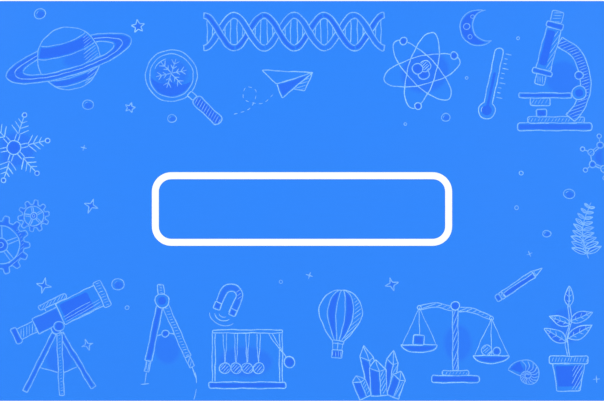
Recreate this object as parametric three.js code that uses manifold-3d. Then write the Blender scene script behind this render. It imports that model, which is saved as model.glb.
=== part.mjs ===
// A printed title board that hangs on a wall, in millimetres.
// A printed laminate covers a plywood panel. Timber rails are screwed to the panel from behind, and the
// bevelled top rail hooks over a wall cleat. Pads hold the rails off the wall, and steel plates tie the
// corners.
// The origin is the middle of the wall cleat's back face, which lies on the wall at y = 0.
// The print looks along -Y, +X is on its right and +Z is up.

import * as THREE from "three";
import { mergeVertices } from "three/addons/utils/BufferGeometryUtils.js";
import Module from "manifold-3d";

const wasm = await Module();
wasm.setup();

// Driving dimensions

const boardWidth = 910;
const boardHeight = 600;
const boardCornerRadius = 3;
const printThickness = 1; // the laminate with its raised ink
const panelThickness = 6;

const railWidth = 45;
const railDepth = 18;
const railInset = 45; // from the panel's edge to the rails
const arrisRadius = 1.5; // on the long edges that face the wall
const arrisSegments = 3;

const padThickness = 3; // the rails stand this far off the wall
const padRadius = 11;
const padEdgeRadius = 1;
const padSegments = 28;
const padEdgeSegments = 3;
const padHeightShare = 0.22; // of the board's height, above and below its middle

const cleatLength = 640;
const cleatHeight = 60;
const cleatDepth = 18;
const liftRoom = 30; // free height under the cleat, so that the board lifts off it

const plateArm = 80;
const plateWidth = 24;
const plateThickness = 2;
const plateCornerRadius = 4;
const plateInset = 8; // from the rails' outer edges
const screwSpots = [36, 66]; // along each arm, from the plate's corner

const screwHeadRadius = 4;
const screwShankRadius = 2;
const screwRecess = { length: 4.6, width: 1, depth: 0.9 };
const screwSegments = 18;
const shortestShank = 0.1; // below a head's cone

// Screws through the rails into the panel: how many, and their spacing, about each rail's middle
const railScrews = {
  rail_left: { count: 3, spacing: 80 },
  rail_right: { count: 3, spacing: 80 },
  rail_top: { count: 4, spacing: 165 },
  rail_bottom: { count: 4, spacing: 165 },
  centre_batten: { count: 3, spacing: 135 },
};

const jointGap = 0.3; // between pieces that touch
const cutRise = 0.5; // a cutter stands this far above the face that it opens
const hookGap = 0.5; // between the two bevels, measured upright
const cornerSegments = 5; // on each rounded corner of a flat piece
const mergeDistance = 1e-4; // corners closer than this are one

// Places worked out from the dimensions

const railBackY = -padThickness;
const railFrontY = railBackY - railDepth;
const panelBackY = railFrontY - jointGap;
const printBackY = panelBackY - panelThickness - jointGap;

const cleatTopZ = cleatHeight / 2; // at the wall
const bevelBackZ = cleatTopZ + hookGap - railBackY; // a 45 degree bevel rises as it leaves the wall
const topRailTopZ = bevelBackZ + railWidth;
const boardTopZ = topRailTopZ + railInset;
const boardMiddleZ = boardTopZ - boardHeight / 2;
const frameHalfWidth = boardWidth / 2 - railInset;
const frameHalfHeight = boardHeight / 2 - railInset;

const sides = { left: -1, right: 1 };
const levels = { bottom: -1, top: 1 };

const finishes = {
  print: new THREE.MeshStandardMaterial({ color: 0x3489fe, roughness: 0.5 }),
  plywood: new THREE.MeshStandardMaterial({ color: 0xd9bd92, roughness: 0.65 }),
  timber: new THREE.MeshStandardMaterial({ color: 0xc99a5b, roughness: 0.7 }),
  plate: new THREE.MeshStandardMaterial({ color: 0xb9bcc0, roughness: 0.4, metalness: 1 }),
  screw: new THREE.MeshStandardMaterial({ color: 0xd2b567, roughness: 0.35, metalness: 1 }),
  pad: new THREE.MeshStandardMaterial({ color: 0x2b2c2e, roughness: 0.9 }),
};

const board = new THREE.Group();

function addPiece(name, geometry, finish, x, y, z) {
  const mesh = new THREE.Mesh(geometry, finishes[finish]);
  mesh.name = name;
  mesh.position.set(x, y, z);
  board.add(mesh);
  return mesh;
}

// A geometry with merged corners as a solid for boolean cuts, and back
function toSolid(geometry) {
  const bare = geometry.clone();
  bare.deleteAttribute("normal");
  bare.deleteAttribute("uv");
  const merged = mergeVertices(bare, mergeDistance);
  return new wasm.Manifold(new wasm.Mesh({
    numProp: 3,
    vertProperties: Float32Array.from(merged.attributes.position.array),
    triVerts: Uint32Array.from(merged.index.array),
  }));
}

function toGeometry(solid) {
  const mesh = solid.getMesh();
  const geometry = new THREE.BufferGeometry();
  geometry.setAttribute("position", new THREE.BufferAttribute(mesh.vertProperties, 3));
  geometry.setIndex(new THREE.BufferAttribute(mesh.triVerts, 1));
  geometry.computeVertexNormals();
  return geometry;
}

function roundedRectangle(width, height, radius) {
  const right = width / 2;
  const top = height / 2;
  const shape = new THREE.Shape();
  shape.moveTo(radius - right, -top);
  shape.lineTo(right - radius, -top);
  shape.absarc(right - radius, radius - top, radius, -Math.PI / 2, 0);
  shape.lineTo(right, top - radius);
  shape.absarc(right - radius, top - radius, radius, 0, Math.PI / 2);
  shape.lineTo(radius - right, top);
  shape.absarc(radius - right, top - radius, radius, Math.PI / 2, Math.PI);
  shape.lineTo(-right, radius - top);
  shape.absarc(radius - right, radius - top, radius, Math.PI, 1.5 * Math.PI);
  return shape;
}

// A flat piece in the board's plane: its back face is at y = 0 and it grows towards the viewer
function slab(shape, thickness) {
  const options = { depth: thickness, bevelEnabled: false, curveSegments: cornerSegments };
  return new THREE.ExtrudeGeometry(shape, options).rotateX(Math.PI / 2);
}

// A bar's section has its width along x, from the lower or left edge, and its depth along y, towards the wall
function railSection(width, depth) {
  const shape = new THREE.Shape();
  shape.moveTo(-width / 2, 0);
  shape.lineTo(width / 2, 0);
  shape.lineTo(width / 2, depth - arrisRadius);
  shape.absarc(width / 2 - arrisRadius, depth - arrisRadius, arrisRadius, 0, Math.PI / 2);
  shape.lineTo(arrisRadius - width / 2, depth);
  shape.absarc(arrisRadius - width / 2, depth - arrisRadius, arrisRadius, Math.PI / 2, Math.PI);
  return shape;
}

// The top rail's lower edge is a 45 degree bevel that hangs down behind the wall cleat's lip
function topRailSection() {
  const shape = new THREE.Shape();
  shape.moveTo(railDepth - railWidth / 2, 0);
  shape.lineTo(railWidth / 2, 0);
  shape.lineTo(railWidth / 2, railDepth - arrisRadius);
  shape.absarc(railWidth / 2 - arrisRadius, railDepth - arrisRadius, arrisRadius, 0, Math.PI / 2);
  shape.lineTo(-railWidth / 2, railDepth);
  return shape;
}

// The cleat's upper edge is the matching bevel, with its lip away from the wall
function cleatSection() {
  const shape = new THREE.Shape();
  shape.moveTo(arrisRadius - cleatHeight / 2, 0);
  shape.lineTo(cleatHeight / 2 + cleatDepth, 0);
  shape.lineTo(cleatHeight / 2, cleatDepth);
  shape.lineTo(-cleatHeight / 2, cleatDepth);
  shape.lineTo(-cleatHeight / 2, arrisRadius);
  shape.absarc(arrisRadius - cleatHeight / 2, arrisRadius, arrisRadius, Math.PI, 1.5 * Math.PI);
  return shape;
}

function bar(section, length) {
  const options = { depth: length, bevelEnabled: false, curveSegments: arrisSegments };
  return new THREE.ExtrudeGeometry(section, options).translate(0, 0, -length / 2);
}

// A countersunk screw's head, or the hole for it, round the Y axis with its wide face at y = 0
function countersink(headRadius, shankRadius, depth) {
  const coneDepth = headRadius - shankRadius;
  const profile = [
    new THREE.Vector2(0, -depth),
    new THREE.Vector2(shankRadius, -depth),
    new THREE.Vector2(shankRadius, -Math.min(coneDepth, depth - shortestShank)),
    new THREE.Vector2(headRadius, 0),
    new THREE.Vector2(0, 0),
  ];
  return new THREE.LatheGeometry(profile, screwSegments);
}

function screwHead() {
  const { length, width, depth } = screwRecess;
  const headDepth = plateThickness - jointGap;
  const head = toSolid(countersink(screwHeadRadius - jointGap, screwShankRadius, headDepth));
  const slot = toSolid(new THREE.BoxGeometry(length, 2 * depth, width));
  const crossSlot = toSolid(new THREE.BoxGeometry(width, 2 * depth, length));
  return toGeometry(head.subtract(slot.add(crossSlot)));
}

// What is cut out of a face at y = 0 so that a screw's head lies flush in it
function screwSeat() {
  const depth = cutRise + plateThickness + jointGap;
  const seat = toSolid(countersink(screwHeadRadius + cutRise, screwShankRadius + jointGap, depth));
  return seat.translate([0, cutRise, 0]);
}

function railScrewPlaces(name) {
  const { count, spacing } = railScrews[name];
  return Array.from({ length: count }, (_, index) => (index - (count - 1) / 2) * spacing);
}

// A rail with a screw seat in its wall side at each place along it
function drilledRail(name, section, length) {
  const seat = screwSeat();
  let rail = toSolid(bar(section, length));
  for (const along of railScrewPlaces(name)) {
    rail = rail.subtract(seat.translate([0, railDepth, along]));
  }
  return toGeometry(rail);
}

function addUprightRail(name, section, x, bottomZ, topZ) {
  const middleZ = (bottomZ + topZ) / 2;
  const head = screwHead();
  addPiece(name, drilledRail(name, section, topZ - bottomZ), "timber", x, railFrontY, middleZ);
  railScrewPlaces(name).forEach((along, index) => {
    addPiece(`${name}_screw_${index + 1}`, head, "screw", x, railBackY, middleZ + along);
  });
}

function addLevelRail(name, section, length, z) {
  const head = screwHead();
  addPiece(name, drilledRail(name, section, length), "timber", 0, railFrontY, z).rotation.y = -Math.PI / 2;
  railScrewPlaces(name).forEach((along, index) => {
    addPiece(`${name}_screw_${index + 1}`, head, "screw", along, railBackY, z);
  });
}

function addPanel() {
  const outline = roundedRectangle(boardWidth, boardHeight, boardCornerRadius);
  addPiece("printed_face", slab(outline, printThickness), "print", 0, printBackY, boardMiddleZ);
  addPiece("plywood_panel", slab(outline, panelThickness), "plywood", 0, panelBackY, boardMiddleZ);
}

function addRails() {
  const section = railSection(railWidth, railDepth);
  const railX = frameHalfWidth - railWidth / 2;
  const bottomZ = boardMiddleZ - frameHalfHeight;
  for (const [side, sign] of Object.entries(sides)) {
    addUprightRail(`rail_${side}`, section, sign * railX, bottomZ, topRailTopZ);
  }
  const betweenSides = 2 * (frameHalfWidth - railWidth - jointGap);
  addLevelRail("rail_top", topRailSection(), betweenSides, topRailTopZ - railWidth / 2);
  addLevelRail("rail_bottom", section, betweenSides, bottomZ + railWidth / 2);
  const battenTopZ = -cleatHeight / 2 - liftRoom;
  addUprightRail("centre_batten", section, 0, bottomZ + railWidth + jointGap, battenTopZ);
}

function addWallCleat() {
  const cleat = bar(cleatSection(), cleatLength);
  addPiece("wall_cleat", cleat, "timber", 0, -cleatDepth, 0).rotation.y = -Math.PI / 2;
}

// The places of a plate's screws, from the plate's outer corner along both arms
function plateScrewPlaces() {
  const middle = plateWidth / 2;
  return [...screwSpots.map((along) => [along, middle]), ...screwSpots.map((along) => [middle, along])];
}

function cornerPlateOutline() {
  const r = plateCornerRadius;
  const shape = new THREE.Shape();
  shape.moveTo(r, 0);
  shape.lineTo(plateArm - r, 0);
  shape.absarc(plateArm - r, r, r, -Math.PI / 2, 0);
  shape.lineTo(plateArm, plateWidth - r);
  shape.absarc(plateArm - r, plateWidth - r, r, 0, Math.PI / 2);
  shape.lineTo(plateWidth, plateWidth);
  shape.lineTo(plateWidth, plateArm - r);
  shape.absarc(plateWidth - r, plateArm - r, r, 0, Math.PI / 2);
  shape.lineTo(r, plateArm);
  shape.absarc(r, plateArm - r, r, Math.PI / 2, Math.PI);
  shape.lineTo(0, r);
  shape.absarc(r, r, r, Math.PI, 1.5 * Math.PI);
  return shape;
}

// The plate for the lower left corner; the others are quarter turns of it
function cornerPlate() {
  const seat = screwSeat();
  let plate = toSolid(slab(cornerPlateOutline(), plateThickness));
  for (const [x, z] of plateScrewPlaces()) {
    plate = plate.subtract(seat.translate([x, 0, z]));
  }
  return toGeometry(plate);
}

function addCornerPlates() {
  const quarterTurns = { bottom_left: 0, bottom_right: 1, top_right: 2, top_left: 3 };
  const depthAxis = new THREE.Vector3(0, 1, 0);
  const plateBackY = railBackY + jointGap + plateThickness;
  const plate = cornerPlate();
  const head = screwHead();
  for (const [level, up] of Object.entries(levels)) {
    for (const [side, across] of Object.entries(sides)) {
      const corner = `${level}_${side}`;
      const x = across * (frameHalfWidth - plateInset);
      const z = boardMiddleZ + up * (frameHalfHeight - plateInset);
      const turn = -quarterTurns[corner] * Math.PI / 2;
      addPiece(`corner_plate_${corner}`, plate, "plate", x, plateBackY, z).rotation.y = turn;
      plateScrewPlaces().forEach((place, index) => {
        const spot = new THREE.Vector3(place[0], 0, place[1]).applyAxisAngle(depthAxis, turn);
        addPiece(`plate_screw_${corner}_${index + 1}`, head, "screw", x + spot.x, plateBackY, z + spot.z);
      });
    }
  }
}

// A round pad with its flat face on the wall at y = 0 and a rounded rim beside it
function wallPad() {
  const depth = padThickness - jointGap;
  const rim = new THREE.Path();
  rim.moveTo(0, -depth);
  rim.lineTo(padRadius, -depth);
  rim.lineTo(padRadius, -padEdgeRadius);
  rim.absarc(padRadius - padEdgeRadius, -padEdgeRadius, padEdgeRadius, 0, Math.PI / 2);
  rim.lineTo(0, 0);
  return new THREE.LatheGeometry(rim.getPoints(padEdgeSegments), padSegments);
}

function addWallPads() {
  const pad = wallPad();
  const railX = frameHalfWidth - railWidth / 2;
  for (const [side, across] of Object.entries(sides)) {
    for (const [level, up] of Object.entries(levels)) {
      const z = boardMiddleZ + up * padHeightShare * boardHeight;
      addPiece(`wall_pad_${level}_${side}`, pad, "pad", across * railX, 0, z);
    }
  }
}

addPanel();
addRails();
addWallCleat();
addCornerPlates();
addWallPads();

export default board;
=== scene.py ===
"""A printed title board that hangs on a wall, in metres.

A blue laminate carries raised pen drawings and a bare title frame. It covers a plywood panel. Behind the
panel are timber rails and steel corner plates, both fixed with screws, round pads, and the cleat that the
board hooks over. The print looks along -Y, +X is on its right and +Z is up.
"""

import math
from contextlib import contextmanager

import bmesh
import bpy
import numpy as np
from bpy.props import FloatProperty, FloatVectorProperty, IntProperty, PointerProperty
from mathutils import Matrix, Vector
from mathutils.geometry import delaunay_2d_cdt


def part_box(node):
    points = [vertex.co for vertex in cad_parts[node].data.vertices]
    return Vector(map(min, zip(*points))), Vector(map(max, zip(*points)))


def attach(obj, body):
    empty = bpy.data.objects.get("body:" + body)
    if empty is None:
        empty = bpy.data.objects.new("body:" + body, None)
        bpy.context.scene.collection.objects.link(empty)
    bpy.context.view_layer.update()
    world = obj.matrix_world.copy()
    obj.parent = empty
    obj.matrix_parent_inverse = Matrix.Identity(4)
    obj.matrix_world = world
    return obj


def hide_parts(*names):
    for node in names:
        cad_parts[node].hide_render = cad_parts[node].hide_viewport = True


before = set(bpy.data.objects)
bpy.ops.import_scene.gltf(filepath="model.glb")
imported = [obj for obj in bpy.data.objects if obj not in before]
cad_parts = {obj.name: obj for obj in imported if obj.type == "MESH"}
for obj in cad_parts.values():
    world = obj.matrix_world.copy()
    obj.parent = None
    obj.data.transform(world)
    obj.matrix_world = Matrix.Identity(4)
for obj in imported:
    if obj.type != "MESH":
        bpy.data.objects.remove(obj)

bl_info = {
    "name": "Illustrated Title Board",
    "version": (1, 0, 0),
    "blender": (4, 5, 0),
    "location": "3D View > Sidebar > Title Board",
    "description": "Makes a printed board with pen drawings, its timber back and its fittings",
    "category": "Object",
}

# Places from the frame

MM = 0.001
BODY = "root"
CORNERS = ("bottom_left", "bottom_right", "top_left", "top_right")
PRINT_LOW, PRINT_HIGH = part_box("printed_face")
PANEL_LOW, PANEL_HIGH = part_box("plywood_panel")
BOARD_WIDTH = PRINT_HIGH.x - PRINT_LOW.x
BOARD_HEIGHT = PRINT_HIGH.z - PRINT_LOW.z
BOARD_MIDDLE_Z = (PRINT_LOW.z + PRINT_HIGH.z) / 2
BOARD_CORNER = 3.0  # radius of the board's corners, in millimetres
INK_ROOM = 0.25 * MM  # the laminate's face lies this far behind the frame's, and the ink fills the room
FACE_Y = PRINT_LOW.y + INK_ROOM

# The photograph's framing: the board's face fills these rows of it and runs off its sides

PHOTO_COLUMNS = 604
PHOTO_MIDDLE_ROW = 201.5
FACE_TOP_ROW = 1
FACE_BOTTOM_ROW = 401
PIXEL = BOARD_HEIGHT / (FACE_BOTTOM_ROW - FACE_TOP_ROW)


# Settings

def screen_colour(*codes):
    """A colour as a screen shows it, from 0 to 255, as the linear shares that a shader takes."""
    shares = np.array(codes) / 255
    return tuple(np.where(shares <= 0.04045, shares / 12.92, ((shares + 0.055) / 1.055) ** 2.4).tolist())


def a_colour(name, description, *codes):
    """A setting for a colour, given as a screen shows it."""
    colour = screen_colour(*codes)
    return FloatVectorProperty(
        name=name, description=description, default=colour, min=0, max=1, size=3, subtype="COLOR"
    )


def a_number(name, description, default, unit="NONE", least=0, precision=2):
    """A setting for a number."""
    return FloatProperty(
        name=name, description=description, default=default, min=least, precision=precision, unit=unit
    )


def a_size(name, description, default):
    """A setting for a length, in metres."""
    return a_number(name, description, default, "LENGTH", precision=5)


class TitleBoardPrint(bpy.types.PropertyGroup):
    """Sizes and colours of the laminate and of what is printed on it"""

    ground: a_colour("Ground", "Blue of the whole face", 26, 124, 238)
    deep: a_colour("Deep ink", "Darker blue that fills parts of the drawings", 14, 98, 234)
    line: a_colour("Line ink", "Pale blue of the pen lines", 160, 213, 255)
    title: a_colour("Title ink", "White of the title frame", 246, 247, 248)
    core: a_colour("Laminate core", "Cut edge of the laminate", 226, 222, 212)
    laminate_thickness: a_size("Laminate", "Thickness of the laminate", 0.75 * MM)
    line_width: a_size("Line width", "Width of a pen line", 1.68 * MM)
    ink_height: a_size("Ink height", "How far the pen lines stand out", 0.2 * MM)
    wander: a_size("Wander", "How far a drawn line strays from its course", 0.55 * MM)
    hatch_gap: a_size("Hatch gap", "Distance between hatching lines", 4.4 * MM)
    title_width: a_size("Title width", "Width of the title frame", 440 * MM)
    title_height: a_size("Title height", "Height of the title frame", 100 * MM)
    title_stroke: a_size("Title stroke", "Width of the title frame's line", 10.5 * MM)
    title_corner: a_size("Title corner", "Radius of the title frame's corners", 24 * MM)
    title_drop: a_size("Title drop", "How far the title frame hangs below the board's middle", 12 * MM)
    seed: IntProperty(
        name="Seed", description="Number that settles the hand's chance moves", default=11, min=0
    )


class TitleBoardTimber(bpy.types.PropertyGroup):
    """Sizes and colours of the panel, the rails and the wall cleat"""

    pine_early: a_colour("Pine", "Pine between its growth lines", 222, 178, 120)
    pine_late: a_colour("Pine growth line", "Darker late wood of the pine", 176, 116, 62)
    birch: a_colour("Birch", "Face veneer of the plywood", 221, 195, 155)
    birch_dark: a_colour("Birch figure", "Darker figure in the face veneer", 196, 161, 115)
    end_grain: a_colour("End grain", "Crosswise plies at the panel's edge", 158, 116, 74)
    ring_spacing: a_size("Ring spacing", "Distance between the pine's growth lines", 3.4 * MM)
    eased_edge: a_size("Eased edge", "Radius on the rails' ends and screw holes", 0.5 * MM)
    panel_edge: a_size("Panel edge", "Radius on the edges of the panel", 0.4 * MM)
    plies: IntProperty(name="Plies", description="Number of plies in the panel", default=5, min=3)


class TitleBoardFittings(bpy.types.PropertyGroup):
    """Sizes and colours of the corner plates, the screws and the pads"""

    zinc: a_colour("Zinc", "Corner plates", 178, 182, 186)
    zinc_dull: a_colour("Dull zinc", "Darker spangles of the corner plates", 152, 157, 162)
    brass_plating: a_colour("Yellow plating", "Screws", 206, 172, 92)
    rubber: a_colour("Rubber", "Wall pads", 38, 39, 41)
    plate_edge: a_size("Plate edge", "Radius on the edges of the corner plates", 0.25 * MM)


class TitleBoardStage(bpy.types.PropertyGroup):
    """The floor, the lights and the camera"""

    floor: a_colour("Floor", "Pale floor", 247, 247, 247)
    hanging_height: a_size("Hanging height", "From the floor to the board's lower edge", 1.2)
    surroundings: a_number("Surroundings", "Light from all round", 0.8)
    key_power: a_number("Key lights", "Power of each front light", 45, "POWER")
    back_power: a_number("Back light", "Power of the rear light", 58, "POWER")
    lens: a_number("Lens", "Focal length of the camera", 85, "CAMERA", least=1)


class TitleBoardSettings(bpy.types.PropertyGroup):
    """All of the title board's settings"""

    print_face: PointerProperty(type=TitleBoardPrint)
    timber: PointerProperty(type=TitleBoardTimber)
    fittings: PointerProperty(type=TitleBoardFittings)
    stage: PointerProperty(type=TitleBoardStage)


# Meshes

MERGE_DISTANCE = 1e-6
FLAT_ANGLE = math.radians(1)
EDGE_SEGMENTS = 3
CUT_ROOM = 0.001  # points of a plate that lie nearer than this are merged, in millimetres
SOFT_LOOPS = (0.5, 1.0)  # loops of points inside a plate's rim, as shares of its soft width
RIM_SHARE = 0.15  # of a plate's mark, at its rim
MAP_MARGIN = 0.01  # bare border of a bake map


def cut_flat(outline, inner, holes):
    """Cuts an outline, the loops inside it and its holes into triangles together. Those whose middle lies in
    the outline and in no hole stay, all turned the same way."""
    loops = [outline, *inner, *holes]
    ends = np.cumsum([0] + [len(loop) for loop in loops]).tolist()
    rings = [list(range(start, end)) for start, end in zip(ends, ends[1:])]
    points, _, triangles, *_ = delaunay_2d_cdt(np.vstack(loops), [], rings, 1, CUT_ROOM)
    points, triangles = np.array(points), np.array(triangles, int).reshape(-1, 3)
    middles = points[triangles].mean(axis=1)
    kept = within(middles, outline)
    for hole in holes:
        kept &= ~within(middles, hole)
    used, index = np.unique(triangles[kept], return_inverse=True)
    points, triangles = points[used], index.reshape(-1, 3)
    one, two, three = points[triangles].transpose(1, 2, 0)
    wrong_way = (two[0] - one[0]) * (three[1] - one[1]) < (two[1] - one[1]) * (three[0] - one[0])
    triangles[wrong_way] = triangles[wrong_way, ::-1]
    return points, triangles


class Shells:
    """Collects closed shells into one mesh, each with its marks, which are numbers that its points carry."""

    def __init__(self):
        self.points = []
        self.faces = []
        self.marks = {}
        self.count = 0

    def take(self, points, marks):
        """Adds a shell's points, with a number from each mark for each of them."""
        self.points.append(points)
        for name, values in marks.items():
            self.marks.setdefault(name, []).append(values)
        self.count += len(points)

    def add(self, sections, looped=False, **marks):
        """Adds a stack of closed sections, rows by points by 3. Each point is joined to the same point of the
        next section. The first and last sections are capped, or joined where the stack is looped. A mark has
        one number for each row."""
        sections = np.asarray(sections, float)
        ahead = (sections[1] - sections[0]).mean(axis=0)
        facing = np.cross(sections[0], np.roll(sections[0], -1, axis=0)).sum(axis=0)
        if facing @ ahead > 0:
            sections = sections[:, ::-1]
        rows, columns = sections.shape[:2]
        index = self.count + np.arange(rows * columns).reshape(rows, columns)
        near = index if looped else index[:-1]
        far = np.roll(index, -1, axis=0) if looped else index[1:]
        quads = np.stack([near, far, np.roll(far, -1, axis=1), np.roll(near, -1, axis=1)], axis=-1)
        self.faces += quads.reshape(-1, 4).tolist()
        if not looped:
            self.faces += [index[0].tolist(), index[-1, ::-1].tolist()]
        spread = {name: np.repeat(values, columns) for name, values in marks.items()}
        self.take(sections.reshape(-1, 3), spread)

    def add_plate(self, outline, holes, back, front, soft=1.0, **marks):
        """Adds a flat plate in x and z between two depths, in millimetres across. Each edge that only one
        triangle has gets a wall. A mark grows from a small share at the rim to its value a soft width
        inside."""
        inner = [inside_rim(outline, soft * share) for share in SOFT_LOOPS]
        points, triangles = cut_flat(outline, [loop for loop in inner if len(loop) > 3], holes)
        if not len(triangles):
            return
        size = len(points)
        edges = np.stack([triangles, np.roll(triangles, -1, axis=1)], axis=-1).reshape(-1, 2)
        rim = edges[~np.isin(edges @ (size, 1), edges @ (1, size))]
        walls = np.column_stack([rim[:, ::-1], rim + size])
        for faces in (triangles, triangles[:, ::-1] + size, walls):
            self.faces += (faces + self.count).tolist()
        grown = np.tile(np.clip(gaps(points, outline) / soft, RIM_SHARE, 1), 2)
        spread = {name: value * grown for name, value in marks.items()}
        self.take(np.vstack([upright(points, front), upright(points, back)]), spread)

    def mesh(self, name):
        """The shells as a mesh, each mark as a point attribute of its own name."""
        mesh = bpy.data.meshes.new(name)
        mesh.from_pydata(np.vstack(self.points).tolist(), [], self.faces)
        for mark, values in self.marks.items():
            mesh.attributes.new(mark, "FLOAT", "POINT").data.foreach_set("value", np.concatenate(values))
        return mesh


def add_bake_map(mesh):
    """A bake map for a piece that lies on the face: u and v are x and z over the piece's own box."""
    points = np.empty(len(mesh.vertices) * 3)
    mesh.vertices.foreach_get("co", points)
    flat = points.reshape(-1, 3)[:, [0, 2]]
    room = 1 - 2 * MAP_MARGIN
    flat = MAP_MARGIN + room * (flat - flat.min(axis=0)) / np.ptp(flat, axis=0).max()
    corners = np.empty(len(mesh.loops), int)
    mesh.loops.foreach_get("vertex_index", corners)
    mesh.uv_layers.new(name="OFBake").data.foreach_set("uv", flat[corners].ravel())


def add_piece(name, mesh, material, replaced=(), sharp=35):
    """Puts a mesh into the scene as a piece of the board, with edges sharper than an angle left crisp."""
    mesh.materials.clear()
    mesh.materials.append(material)
    mesh.shade_smooth()
    mesh.set_sharp_from_angle(angle=math.radians(sharp))
    piece = bpy.data.objects.new(name, mesh)
    bpy.context.scene.collection.objects.link(piece)
    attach(piece, BODY)
    if replaced:
        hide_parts(*replaced)


def add_ink_piece(name, shells, ink):
    """Puts raised ink on the face. It takes its finish from the laminate, and has a bake map of its own."""
    mesh = shells.mesh(name)
    add_bake_map(mesh)
    add_piece(name, mesh, ink)


def eased_copy(node, name, width, least_turn):
    """A copy of one of the frame's own solids, with its corners merged and its flat faces made whole. Each
    outward edge that turns by more than so many degrees is rounded, apart from those on the hidden front."""
    solid = bmesh.new()
    solid.from_mesh(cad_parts[node].data)
    bmesh.ops.remove_doubles(solid, verts=solid.verts, dist=MERGE_DISTANCE)
    bmesh.ops.dissolve_limit(solid, angle_limit=FLAT_ANGLE, verts=solid.verts, edges=solid.edges)
    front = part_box(node)[0].y + MERGE_DISTANCE
    least = math.radians(least_turn)
    outward = [edge for edge in solid.edges if edge.is_convex and edge.calc_face_angle() > least]
    seen = [edge for edge in outward if max(corner.co.y for corner in edge.verts) > front]
    bmesh.ops.bevel(
        solid, geom=seen, affect="EDGES", offset=width, segments=EDGE_SEGMENTS, profile=0.5,
        clamp_overlap=False,
    )
    mesh = bpy.data.meshes.new(name)
    solid.to_mesh(mesh)
    solid.free()
    return mesh


# Outlines, as arrays of points in millimetres: across, then up

SPAN_POINTS = 10  # between two given points of a curve
OVAL_POINTS = (20, 1.2)  # of a whole oval: a base, and more for each millimetre of its longer half
OVAL_LEAST = 6  # points of any part of an oval
NO_LENGTH = 1e-9
CLEAR_SHARE = 0.96  # of the distance that an outline moves in by, which its points keep from its sides


def polar(distance, angles):
    """Points at distances from the middle, in directions given in radians: the distance times the cosine
    across, and times the sine up."""
    return np.stack([distance * np.cos(angles), distance * np.sin(angles)], axis=-1)


def oval(across, up, half_width, half_height=None, start=0, end=360):
    """Points at the middle plus half the width times cos t and half the height times sin t. A whole oval
    doesn't repeat its first point."""
    half_height = half_width if half_height is None else half_height
    whole = abs(end - start) == 360
    base, growth = OVAL_POINTS
    of_whole = base + growth * max(half_width, half_height)
    count = max(OVAL_LEAST, int(abs(end - start) / 360 * of_whole))
    angles = np.radians(np.linspace(start, end, count, endpoint=not whole))
    return np.column_stack([across + half_width * np.cos(angles), up + half_height * np.sin(angles)])


def arc(radius, start, end):
    """Part of a circle round the middle."""
    return oval(0, 0, radius, radius, start, end)


def box(left, low, right, high, corner=1.0):
    """A rectangle whose corners are quarter circles."""
    centres = ((right, low, -90), (right, high, 0), (left, high, 90), (left, low, 180))
    middle = np.array([(left + right) / 2, (low + high) / 2])
    arcs = []
    for x, z, start in centres:
        x_in, z_in = np.array([x, z]) + corner * np.sign(middle - (x, z))
        arcs.append(oval(x_in, z_in, corner, corner, start, start + 90))
    return np.vstack(arcs)


def curve(points):
    """A Catmull-Rom curve: each span is the cubic through its two points whose slopes are half the difference
    between the points before and after."""
    points = np.asarray(points, float)
    points = np.vstack([2 * points[0] - points[1], points, 2 * points[-1] - points[-2]])
    before, here, there, after = (points[i:len(points) - 3 + i, None] for i in range(4))
    t = np.linspace(0, 1, SPAN_POINTS, endpoint=False)[None, :, None]
    spans = here + t / 2 * (
        there - before
        + t * (2 * before - 5 * here + 4 * there - after)
        + t**2 * (3 * here - before - 3 * there + after)
    )
    return np.vstack([spans.reshape(-1, 2), points[-2]])


def evenly(points, step):
    """Points about a step apart along a line, read off it at equal shares of its running length."""
    points = np.asarray(points, float)
    lengths = np.concatenate([[0], np.cumsum(np.hypot(*np.diff(points, axis=0).T))])
    places = np.linspace(0, lengths[-1], max(4, round(lengths[-1] / step) + 1))
    return np.column_stack([np.interp(places, lengths, column) for column in points.T])


def evenly_round(outline, step):
    """Points about a step apart round a closed outline."""
    return evenly(np.vstack([outline, outline[:1]]), step)[:-1]


def leftward(ahead):
    """The unit direction to the left of each of some directions."""
    ahead = ahead / np.maximum(np.hypot(*ahead.T), NO_LENGTH)[:, None]
    return np.column_stack([-ahead[:, 1], ahead[:, 0]])


def sideways(path):
    """The unit direction to the left of the path at each point."""
    return leftward(np.gradient(path, axis=0))


def strip(path, width):
    """The outline of a strip: the path moved half the width to its left, then back half the width to its
    right."""
    path = np.asarray(path, float)
    side = sideways(path) * width / 2
    return np.vstack([path + side, (path - side)[::-1]])


def moved_in(outline, distance):
    """A closed outline with each point moved towards its inside, square to the line between its
    neighbours."""
    after, before = np.roll(outline, -1, axis=0), np.roll(outline, 1, axis=0)
    turning = np.sum(outline[:, 0] * after[:, 1] - outline[:, 1] * after[:, 0])
    return outline + math.copysign(distance, turning) * leftward(after - before)


def gaps(points, outline):
    """How far each point is from the nearest side of a closed outline."""
    side = np.roll(outline, -1, axis=0) - outline
    apart = points[:, None] - outline
    share = np.sum(apart * side, axis=-1) / np.maximum(np.sum(side**2, axis=-1), NO_LENGTH)
    apart = apart - np.clip(share, 0, 1)[..., None] * side
    return np.hypot(*np.moveaxis(apart, -1, 0)).min(axis=1)


def inside_rim(outline, distance):
    """A closed outline moved in by a distance. Points that come out nearer than that to a side of the
    outline, or outside it, are left out, so that the result doesn't cross itself at corners and tips."""
    points = moved_in(outline, distance)
    return points[(gaps(points, outline) > CLEAR_SHARE * distance) & within(points, outline)]


def crescent(radius, start, end, depth):
    """The outline between an arc and the same arc moved in by the depth times a half sine."""
    outer = arc(radius, start, end)
    share = np.sin(np.linspace(0, np.pi, len(outer)))[:, None]
    return np.vstack([outer, (outer * (1 - depth / radius * share))[::-1]])


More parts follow.
